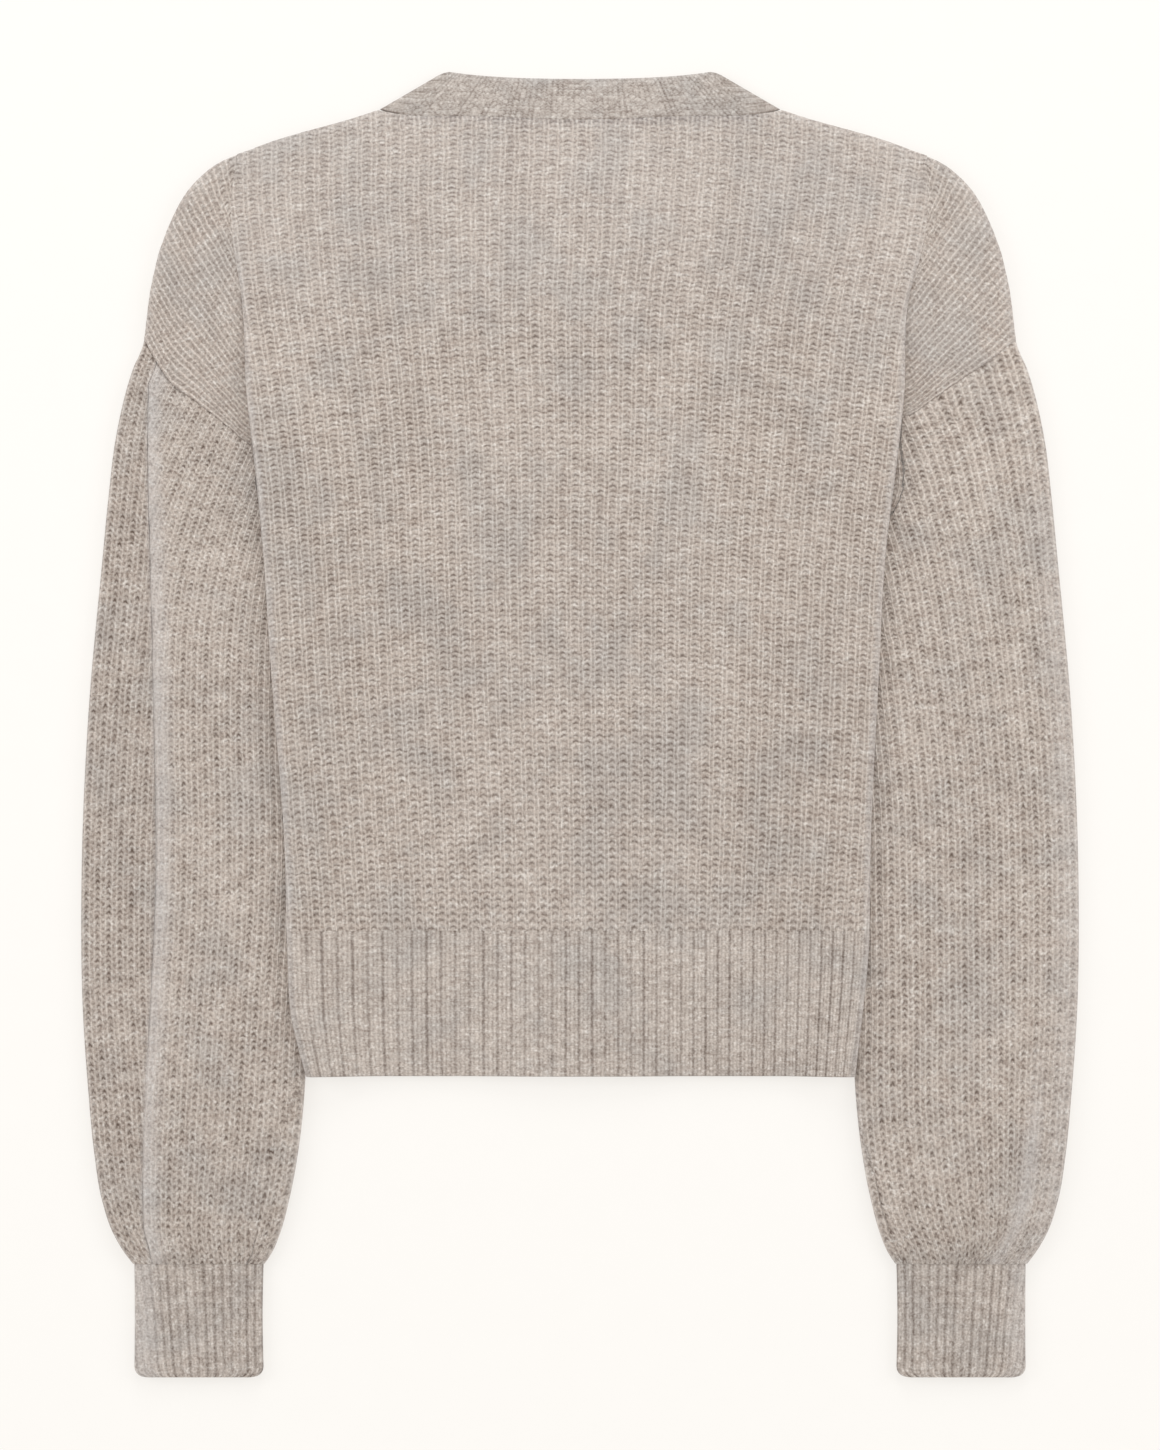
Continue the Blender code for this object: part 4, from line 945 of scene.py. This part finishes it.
SLEEVE_LEVELS = [0.0, 0.012, 0.03, 0.05, *np.linspace(0.08, 0.97, 36),
                 *np.linspace(FIRST_LEVEL, CUFF_SEAM_Y + 0.2, 134)]


def sleeve_section(side, level):
    """One ring: outer points, inner points, counts and marks."""
    probe_x, probe_y = sleeve_place(side, level, np.array([0.0, 0.5, 1.0]))
    width = math.hypot(probe_x[0] - probe_x[2], probe_y[0] - probe_y[2])
    middle_y = float(probe_y[1])
    height = float(sleeve_height(middle_y))
    turn = height / 2 / width
    by_armhole = 0 <= level <= 1
    puff = float(ease(-150.0, -230.0, middle_y))
    fold = max((probe_x[0] - float(sleeve_fold(middle_y))) / (probe_x[0] - probe_x[2]), 0.12)
    if side == "left":
        over_fold = fold + FOLD_STEP * np.array([0, 1, 3, 6])
        across = np.concatenate([np.linspace(turn, fold - FOLD_STEP, 36), over_fold,
                                 np.linspace(fold + 9 * FOLD_STEP, 1 - turn, 84)])
    else:
        across = np.linspace(turn, 1 - turn, 6 * SLEEVE_RIBS + 13)
    share, upper, fullness, inner_share = flat_ring(turn, across, 26)
    x, y = sleeve_place(side, level, share)
    far = sleeve_outer(y) - x
    upright = sleeve_pitch(y) * PITCH_SCALE[side]
    if side == "left":  # a low strip outside the fold, and the near layer rolling over it
        near_d = (share - fold) * width
        on_near = share >= fold - 1e-6
        strip = min(height, STRIP_HEIGHT + 1.4 * puff)
        edge = np.sqrt(np.clip(1 - (1 - np.clip(near_d / 2.0, 0, 1)) ** 2, 0, 1))
        slope = ease(0.0, 0.7, (share - fold) / (1 - fold))
        raised = FOLD_RISE * float(ease(0.0, 0.25, level)) if by_armhole else FOLD_RISE
        base = np.where(on_near, strip + (mix(strip + raised, height, slope) - strip) * edge, strip)
        ribs = np.where(on_near, STRIP_RIBS + (sleeve_fold(y) - x - slant(y)) / upright, far / upright)
        # Painted sheen: a pale cool band of fuzz along the fold's edge, and a little on the strip beside it.
        haze = np.where(on_near, 0.80 * ease(13.0, 2.0, near_d), 0.5 * ease(-3.0, 0.0, near_d))
        shade = np.where(on_near, 0.0, 0.07)
        inside = sleeve_fold(y) - x
    else:  # one soft swell, highest along the middle
        base = height + 1.2 * np.sin(np.pi * share) * mix(1.0, puff, ease(0.3, 0.8, share))
        leaning = 24.0 * share * np.clip((y + 60.0) / 235.0, 0, 1) ** 2
        drawn = (274.0 - sleeve_outer(y)) * (1 - ease(50.0, 0.0, far)) * ease(0.0, -120.0, y)
        ribs = (far + drawn - leaning) / upright
        # Painted sheen: a pale cool band near the outer side, and one along the puff above the cuff.
        haze = 0.45 * ease(20.0, 4.0, far) * ease(215.0, 60.0, y)
        haze = np.maximum(haze, 0.75 * ease(9.0, 0.0, np.abs(far - 19.0)) * ease(-150.0, -240.0, y))
        inside = far * 0.5
        shade = 0 * share
    beside_hem = x - sleeve_inner(y)
    drawn_in = gusset[side](y)
    ribs = np.where(upper & (beside_hem < drawn_in), GUSSET_RIB - beside_hem / upright, ribs)
    # Painted shade: a dark line along the gusset's edge.
    shade = shade + 0.13 * ease(1.4, 0.3, np.abs(beside_hem - drawn_in)) * ease(0.5, 4.0, drawn_in)
    # Painted sheen along both edges of the flattened tube.
    haze = np.maximum(haze, 0.3 * ease(4.0, 0.0, np.minimum(share, 1 - share) * width))
    ridge = RIB * 0.8 * (0.5 + 0.5 * np.cos(2 * np.pi * ribs))
    uneven = share * GATHERS + 0.4 * np.sin(5 * share + 1)
    gathers = np.sin(2 * np.pi * uneven) * (0.6 + 0.4 * np.sin(9 * share))
    gathers = GATHER_MM * gathers * float(ease(-215.0, -280.0, middle_y))
    at_seam = 0.15 * float(ease(0.03, 0.0, level)) if by_armhole else 0.0
    at_cuff = float(ease(CUFF_SEAM_Y + 7.0, CUFF_SEAM_Y, level)) if level < 0 else 0.0
    seam = float(ease(0.013, 0.004, level)) if by_armhole else 0.0
    top_z = mix(base + ridge + gathers - at_seam, CUFF_HEIGHT + 0.6 * ridge, at_cuff)
    z_top = height / 2 + (top_z - height / 2) * fullness
    bend = TROUGH_AT[side] + 0.05 * np.sin(y / 60)
    trough = TROUGH_MM * np.exp(-(((share - bend) / 0.07) ** 2)) * ease(120.0, 60.0, y) * ease(-190.0, -90.0, y)
    z_below = height / 2 * (1 - fullness) + (np.maximum(0.0, gathers) + trough) * fullness
    steep = (slant(y + 2.0) - slant(y - 2.0)) / 4.0
    rows = sleeve_rows(y + steep * inside + ROW_TILT[side] * x)
    ribs = np.where(upper, ribs, -far / upright)
    inner_x, inner_y = sleeve_place(side, level, inner_share)
    inner_z = np.where(upper, np.maximum(base - WALL, WALL + 0.3), WALL)
    return (grid(x, y, np.where(upper, z_top, z_below)), grid(inner_x, inner_y, inner_z), grid(ribs, rows),
            {"haze": haze * upper, "seam": seam * upper, "shade": shade * upper})


for side in SIDES:
    rings = [sleeve_section(side, level) for level in SLEEVE_LEVELS]
    piece = sew_tube(f"sleeve_cloth_{side}", side, sleeve_wool, rings)
    hang(piece, "knit", f"sleeve_{side}")

# %% [markdown]
# ## Cuffs
# Narrow tubes of fine rib with rounded corners at the hand. They stay open, as a slit between two layers. The
# ribs crowd at both sides, and those near the outer side lean inward on their way to the hand.

# %% Cuffs
CUFF_RIBS, CUFF_OUTER, CUFF_INNER = 15, 244.8, 173.8
CORNER_FROM, CORNER_MM, CUFF_GROOVE, CUFF_ROW_MM = 56.6, 5.5, 0.24, 3.0
CUFF_DEPTHS = [0.0, 0.5, 2.0, *np.linspace(4.0, 54.0, 22), 56.5, 58.5, 60.0, 61.0, 61.7, 62.1]
# Painted sheen on each cuff's outer side, which turns towards the light.
CUFF_FUZZ_AND_SHEEN = {"left": (0.6, 18.0, 6.0), "right": (0.45, 14.0, 4.0)}  # how much, and where it starts and is full


def cuff_section(side, depth):
    """One ring, at a depth below the seam."""
    y = CUFF_SEAM_Y + 0.1 - depth
    corner = max(0.0, depth - CORNER_FROM) / CORNER_MM
    inset = CORNER_MM * (1 - math.sqrt(max(0.0, 1 - corner * corner)))
    waist = 0.5 * math.sin(math.pi * min(depth / CORNER_FROM, 1))
    outer_x, inner_x = CUFF_OUTER - inset - waist * 0.4, CUFF_INNER + inset + waist
    thin = 0.35 * ease(59.0, 62.1, depth)
    height = CUFF_HEIGHT - 2 * thin
    width = outer_x - inner_x
    turn = height / 2 / width
    share, upper, fullness, inner_share = flat_ring(turn, np.linspace(turn, 1 - turn, 6 * CUFF_RIBS), 12)
    crowd = share + 0.018 * np.sin(2 * np.pi * share)
    ribs = CUFF_RIBS * (crowd - 0.11 * (1 - share) ** 1.5 * depth / 62)
    ridge = trim_ridge(ribs, CUFF_GROOVE)
    z = np.where(upper, height / 2 + (height / 2 + ridge) * fullness, height / 2 * (1 - fullness)) + thin
    inner_z = np.where(upper, CUFF_HEIGHT - WALL, WALL)
    most, start, full = CUFF_FUZZ_AND_SHEEN[side]
    return (grid(mix(outer_x, inner_x, share), y, z), grid(mix(outer_x, inner_x, inner_share), y, inner_z),
            grid(ribs, depth / CUFF_ROW_MM), {"haze": upper * most * ease(start, full, share * width)})


for side in SIDES:
    piece = sew_tube(f"cuff_rib_{side}", side, cuff_wool, [cuff_section(side, depth) for depth in CUFF_DEPTHS])
    hang(piece, "trim", f"cuff_{side}")

# %% [markdown]
# ## Neckband
# One strip of rib goes up the left front, round the back neck and down the right front. At each end of the
# back neck it turns over the shoulder line to the front, and its ribs fan out to make the turn.

# %% Neckband
NECK_RIBS, NECK_GROOVE, NECK_BACK_END, NECK_ROWS = 16, 0.2, 102.0, 14.0
# The ribs are counted from the middle: over half the back, through the turn, then from FRONT_RIB down a front.
BACK_RIBS, TURN_RIB, TURN_SPREAD, FRONT_RIB, FRONT_RIBS = 7.9, 7.74, 0.04, 8.4, 13
OUTER_STEPS, INNER_STEPS = (0.0, 0.06, 0.2, 0.4, 0.6, 0.8, 0.93, 0.985, 1.0), (0.98, 0.6, 0.2, 0.0)


def strip_section(edge, seam, outer_z, inner_z, crest):
    """A closed ring across the strip: outer side from seam to edge, round it, and back inside."""
    def line(t, heights, raised=0.0):
        z = np.interp(t, (0, 0.5, 1), heights) + raised
        return grid(mix(seam[0], edge[0], t), mix(seam[1], edge[1], t), z)

    out, back = np.array(OUTER_STEPS), np.array(INNER_STEPS)
    outer = line(out, outer_z, crest * ease(0.0, 0.1, out) * ease(1.0, 0.93, out))
    return np.concatenate([outer, line(back, inner_z)]), np.concatenate([out, back])


def neck_front(side, turn):
    """The strip down a front, on the surface. The left one rises over the right band at the end."""
    sign, over, down = SIDES[side], math.cos(turn * math.pi / 2), math.sin(turn * math.pi / 2)
    edge = (sign * mix(FRONT_EDGE, NECK_CORNER[0], over), mix(NECK_CORNER[1], FRONT_NECK_Y, down))
    seam = (sign * mix(FRONT_EDGE, NECK_FOOT[0], over), mix(NECK_FOOT[1], FRONT_SEAM_Y, down))

    def rise(x):
        return BAND_UNDER * ease(50.0, 19.0, abs(x)) if side == "left" else 0.0

    under = [rise(seam[0]), (rise(seam[0]) + rise(edge[0])) / 2, rise(edge[0])]
    return strip_section(edge, seam, under, [z + WALL for z in under], 0.0)


def neck_turn(side, degrees):
    """The strip turned over along the line from its foot to its corner."""
    sign = SIDES[side]
    foot, corner = Vector(NECK_FOOT), Vector(NECK_CORNER)
    radius, angle = BACK_TOP / 2, math.radians(degrees)
    ring, places = [], []
    for reach, steps in ((radius, OUTER_STEPS), (radius - WALL, INNER_STEPS)):
        inward = 1 - reach * math.cos(angle) / radius
        start = foot.lerp(Vector(FOOT_INSIDE), inward)
        end = corner.lerp(Vector(CORNER_INSIDE), inward)
        for t in steps:
            x, y = start.lerp(end, t)
            ring.append((sign * x, y, radius + reach * math.sin(angle)))
            places.append(t)
    return np.array(ring), np.array(places)


def neck_back(share, crest):
    """The strip behind the neck. share runs from -1 to 1, and the ribs fan out towards both ends."""
    seam_x = share * NECK_BACK_END
    edge_x = seam_x - (NECK_BACK_END - NECK_EDGE) * share * abs(share) ** 0.7
    seam = (seam_x, float(neck_seam_y(seam_x)) + 0.1)
    edge = (edge_x, NECK_EDGE_Y + NECK_EDGE_RISE * share * share)
    reach = 1 - share**4
    under = [BACK_UNDER, BACK_UNDER * (1 - 0.4 * reach), BACK_UNDER * (1 - 0.85 * reach)]
    raised = [under[0] + WALL - 0.1, under[1] + WALL, under[2] + WALL - 0.5]
    return strip_section(edge, seam, raised, under, crest)


def neck_half(side):
    """Sections and counts of one end, from the front band up to the back neck."""
    sign = SIDES[side]
    front = [(neck_front(side, turn), sign * (FRONT_RIB + FRONT_RIBS * turn))
             for turn in np.linspace(1, 0.1, 26)]
    over = [(neck_turn(side, degrees), sign * (TURN_RIB - TURN_SPREAD * degrees / 90))
            for degrees in (-90, -60, -30, 0, 30, 60, 80)]
    return front + over


def make_neckband():
    back_neck = []
    for share in np.linspace(-1, 1, 10 * NECK_RIBS + 1)[2:-2]:
        count = BACK_RIBS * share
        back_neck.append((neck_back(share, trim_ridge(count, NECK_GROOVE, 0.4 * RIB)), count))
    sections, ribs = zip(*neck_half("left"), *back_neck, *neck_half("right")[::-1])
    rings, places = (np.array(part) for part in zip(*sections))
    around = np.r_[0:rings.shape[1], 0]
    counts = grid(np.array(ribs)[:, None], places * NECK_ROWS)[:, around]
    band = Cloth()
    # Painted sheen of the fuzz along the band's edge.
    haze = 0.35 * ease(0.85, 1.0, places)
    places_of = band.add(rings, {"haze": haze, "seam": 0.5 * ease(0.065, 0.03, places)})
    band.weave(places_of[:, around], counts)
    for row in (0, -1):
        middle = band.add(rings[row].mean(axis=0)[None, None, :])[0, 0]
        band.fan(middle, counts[row][0], places_of[row][around], counts[row], turned=row == 0)
    piece = band.cut("neckband_rib", neck_wool)
    hang(piece, "trim", "neckband")


make_neckband()

# %% [markdown]
# ## Fronts and front hems
# They lie face down under the back, so only their outer faces show, and only from below. The ribs rest on the
# surface, and a few soft troughs run up from the hem towards the armholes, as uneven as the folds on top.

# %% Fronts
FRONT_CREASES = {  # where each trough starts and ends on the left front, and how deep and wide it is
    "from_x": (48.0, 88.0, 126.0, 205.0), "from_y": (-100.0, -70.0, 10.0, 215.0),
    "to_x": (66.0, 122.0, 178.0, 168.0), "to_y": (55.0, 105.0, 215.0, 275.0),
    "depth": (0.45, 0.70, 0.55, 0.40), "width": (6.0, 10.0, 8.0, 6.0),
}
CREASE_SHIFT = {"left": 6.0, "right": 0.0}
FRONT_RIB_MM, FRONT_ROW_MM, FRONT_HEM_RIB_MM, OUTERMOST_X = 7.0, 3.0, 7.2, 238.9


def creases(x, y):
    """Depth of soft troughs, each along a line that fades at both ends."""
    depth = 0 * x
    for from_x, from_y, to_x, to_y, deep, wide in zip(*FRONT_CREASES.values()):
        length = math.hypot(to_x - from_x, to_y - from_y)
        along = ((x - from_x) * (to_x - from_x) + (y - from_y) * (to_y - from_y)) / length**2
        off = ((x - from_x) * (to_y - from_y) - (y - from_y) * (to_x - from_x)) / length
        fade = ease(0.0, 0.3, along) * ease(1.0, 0.7, along)
        depth = depth + deep * fade * np.exp(-((off / wide) ** 2))
    return depth


def front_side(side, y):
    """Where the front ends beside the body's folded side."""
    return body_half[side](y) - SIDE_WALL - 0.3


def front_y_range(side, x):
    """Lowest and highest y of the front at a distance from the middle."""
    angle = np.arccos(np.clip((x - FRONT_EDGE) / (NECK_FOOT[0] - FRONT_EDGE), 0, 1))
    neck = mix(NECK_FOOT[1], FRONT_SEAM_Y, np.sin(angle)) - 0.3
    high = np.where(x < NECK_FOOT[0] + 0.3, neck, np.minimum(shoulder_at(x), NECK_FOOT[1] - 0.5))
    side_y = np.linspace(HEM_SEAM_Y, ARMHOLE[side][-1], 80)
    side_x = np.maximum.accumulate(front_side(side, side_y))
    seam_share = np.linspace(1, 0, 40)
    seam_x = mix(SHOULDER["x"][-1], side_x[-1], seam_share)
    seam_y = armhole_y[side](seam_share) + 0.1
    low = np.interp(x, [*(side_x + 1e-4 * np.arange(80)), *(seam_x + 0.01)], [*side_y, *seam_y])
    return np.where(x < side_x[0], HEM_SEAM_Y, low), high


def sew_front(name, side, wool, x, y, trough, rib_mm, row_mm):
    """A front's wall: plain on its inner face, with troughs in the face that lies down."""
    out, under = SIDES[side] * x, front_under(side, x, y)
    grids = grid(out, y, under + WALL), grid(out, y, under + trough), grid(out / rib_mm, -y / row_mm)
    return sew_panel(name, wool, *(points[:, ::SIDES[side]] for points in grids), step=3)


for side in SIDES:
    edge_x = front_side(side, HEM_SEAM_Y)
    x = np.concatenate([np.linspace(FRONT_EDGE, edge_x, 121), np.linspace(edge_x + 0.4, OUTERMOST_X, 67)])
    low, high = front_y_range(side, x)
    y = mix(high[None, :], low[None, :], np.linspace(0, 1, 60)[:, None])
    x = x[None, :] + 0 * y
    trough = 0.8 * (RIB - knit_ridge(x / FRONT_RIB_MM)) + creases(x + CREASE_SHIFT[side], y)
    piece = sew_front(f"front_panel_{side}", side, back_wool, x, y, trough, FRONT_RIB_MM, FRONT_ROW_MM)
    hang(piece, "knit", f"front_{side}")

    y = np.linspace(HEM_SEAM_Y, HEM_Y, 20)[:, None]
    x = mix(FRONT_EDGE, front_side(side, y), np.linspace(0, 1, 121)[None, :])
    groove = 0.6 * RIB - trim_ridge(x / FRONT_HEM_RIB_MM, HEM_GROOVE)
    piece = sew_front(f"hem_front_rib_{side}", side, hem_wool, x, y, groove, FRONT_HEM_RIB_MM, TRIM_ROW_MM)
    hang(piece, "trim", f"hem_front_{side}")

# %% [markdown]
# ## Button bands
# Two strips of fine rib, fastened one over the other. The outer one is pressed in a little by each button.

# %% Button bands
BUTTONS = [mix(255.0, -178.0, i / 6) for i in range(7)]
BUTTON_RADIUS, BUTTON_THICK, DENT_MM = 7.5, 2.0, 2.25
BAND_RIB_MM = 4.2
BAND_RIM = BAND_HALF - np.array([0.0, 0.2, 0.8])


def make_band(side, low, high, dented):
    """A strip between two heights, with rounded sides. The dented one has a hollow for each button."""
    length = np.linspace(FRONT_NECK_Y, HEM_Y, 361 if dented else 61)
    across = np.concatenate([-BAND_RIM, np.linspace(-13.4, 13.4, 21), BAND_RIM[::-1]])
    x, y = np.meshgrid(across, length)
    edge = np.sqrt(np.clip(1 - (1 - np.clip((BAND_HALF - np.abs(x)) / 1.4, 0, 1)) ** 2, 0, 1))
    middle = (low + high) / 2
    top = middle + (high - middle) * mix(0.2, 1.0, edge)
    bottom = middle - (middle - low) * mix(0.2, 1.0, edge)
    if dented:
        for place in BUTTONS:
            near = np.hypot(x, y - place)
            bottom = np.maximum(bottom, DENT_MM * ease(BUTTON_RADIUS + 1.9, BUTTON_RADIUS + 0.5, near))
    piece = sew_panel(f"button_band_{side}", cuff_wool, grid(x, y, top), grid(x, y, bottom),
                      grid(x / BAND_RIB_MM, -y / TRIM_ROW_MM), step=1)
    hang(piece, "trim", f"band_{side}")


make_band("right", 0.0, 3.2, True)
make_band("left", BAND_UNDER, BAND_UNDER + WALL, False)

# %% [markdown]
# ## Buttons
# Four-hole buttons of dark horn with a raised rim, sewn on with wool-coloured thread. They face down. One is
# modelled and copied along the band.

# %% Button finish
horn = Finish("horn")
horn_streaks = horn.noise(horn.object_place(), 260.0, 3.0, 0.6)
horn.vary("Base Color", horn.blend(horn_streaks.ramp(0.35, 0.65), (0.105, 0.070, 0.045), (0.330, 0.250, 0.175)))
horn.vary("Roughness", horn_streaks * 0.25 + 0.25)

thread = Finish("sewing_thread")
thread_twist = thread.noise(thread.object_place(), 2400.0, 1.0)
thread.vary("Base Color", thread.blend(thread_twist, (0.42, 0.37, 0.31), (0.60, 0.55, 0.48)))
thread.set(Roughness=0.85)


# %% Buttons
HOLE_AT, HOLE_RADIUS, THREAD_RADIUS, THREAD_LENGTH = 1.4, 0.85, 0.42, 4.4


def select_only(*pieces):
    bpy.ops.object.select_all(action="DESELECT")
    for piece in pieces:
        piece.select_set(True)
    bpy.context.view_layer.objects.active = pieces[0]


def make_button():
    """A turned disc: rim, dished face and four holes, made with its face down."""
    bpy.ops.mesh.primitive_cylinder_add(vertices=48, radius=BUTTON_RADIUS * MM, depth=BUTTON_THICK * MM,
                                        location=(0, 0, BUTTON_THICK / 2 * MM))
    button = bpy.context.object
    bpy.ops.object.mode_set(mode="EDIT")
    bpy.ops.mesh.select_all(action="DESELECT")
    built = bmesh.from_edit_mesh(button.data)
    for face in built.faces:
        face.select = face.normal.z < -0.9
    bmesh.update_edit_mesh(button.data)
    bpy.ops.mesh.inset(thickness=1.4 * MM)
    bpy.ops.mesh.inset(thickness=0.3 * MM, depth=-0.5 * MM)
    bpy.ops.object.mode_set(mode="OBJECT")
    for x, y in ((HOLE_AT, HOLE_AT), (-HOLE_AT, HOLE_AT), (-HOLE_AT, -HOLE_AT), (HOLE_AT, -HOLE_AT)):
        bpy.ops.mesh.primitive_cylinder_add(vertices=16, radius=HOLE_RADIUS * MM, depth=8 * MM,
                                            location=(x * MM, y * MM, 0))
        drill = bpy.context.object
        hole = button.modifiers.new("hole", "BOOLEAN")
        hole.object, hole.solver = drill, "EXACT"
        bpy.context.view_layer.objects.active = button
        bpy.ops.object.modifier_apply(modifier=hole.name)
        bpy.data.objects.remove(drill, do_unlink=True)
    bevel = button.modifiers.new("soft_edges", "BEVEL")
    bevel.width, bevel.segments, bevel.limit_method = 0.25 * MM, 2, "ANGLE"
    bpy.ops.object.modifier_apply(modifier=bevel.name)
    button.data.materials.append(horn.material)
    return button


def make_stitch():
    """Two crossed threads through the four holes, on the button's dished face."""
    strands = []
    for angle in (45, 135):
        bpy.ops.mesh.primitive_cylinder_add(vertices=10, radius=THREAD_RADIUS * MM, depth=THREAD_LENGTH * MM,
                                            location=(0, 0, THREAD_RADIUS * MM),
                                            rotation=(math.radians(90), 0, math.radians(angle)))
        strand = bpy.context.object
        bpy.ops.object.mode_set(mode="EDIT")
        bpy.ops.mesh.select_all(action="SELECT")
        bpy.ops.mesh.bevel(offset=0.2 * MM, segments=2)
        bpy.ops.object.mode_set(mode="OBJECT")
        strands.append(strand)
    select_only(*strands)
    bpy.ops.object.join()
    bpy.context.object.data.materials.append(thread.material)
    return bpy.context.object


def settle(piece, y):
    """Places a copy on the band and writes its place into its mesh."""
    piece.location.y += y * MM
    select_only(piece)
    bpy.ops.object.transform_apply(location=True, rotation=True, scale=True)
    bpy.ops.object.shade_smooth_by_angle(angle=math.radians(35))


button_model, stitch_model = make_button(), make_stitch()
for number, y in enumerate(BUTTONS, 1):
    for model, name in ((button_model, f"turned_button_{number}"), (stitch_model, f"button_thread_{number}")):
        piece = model.copy()
        piece.data = model.data.copy()
        piece.name = name
        bpy.context.scene.collection.objects.link(piece)
        settle(piece, y)
        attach(piece, "root")
        if model is button_model:
            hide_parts(f"button_{number}")
for model in (button_model, stitch_model):
    bpy.data.objects.remove(model, do_unlink=True)
print("buttons:", len(BUTTONS))
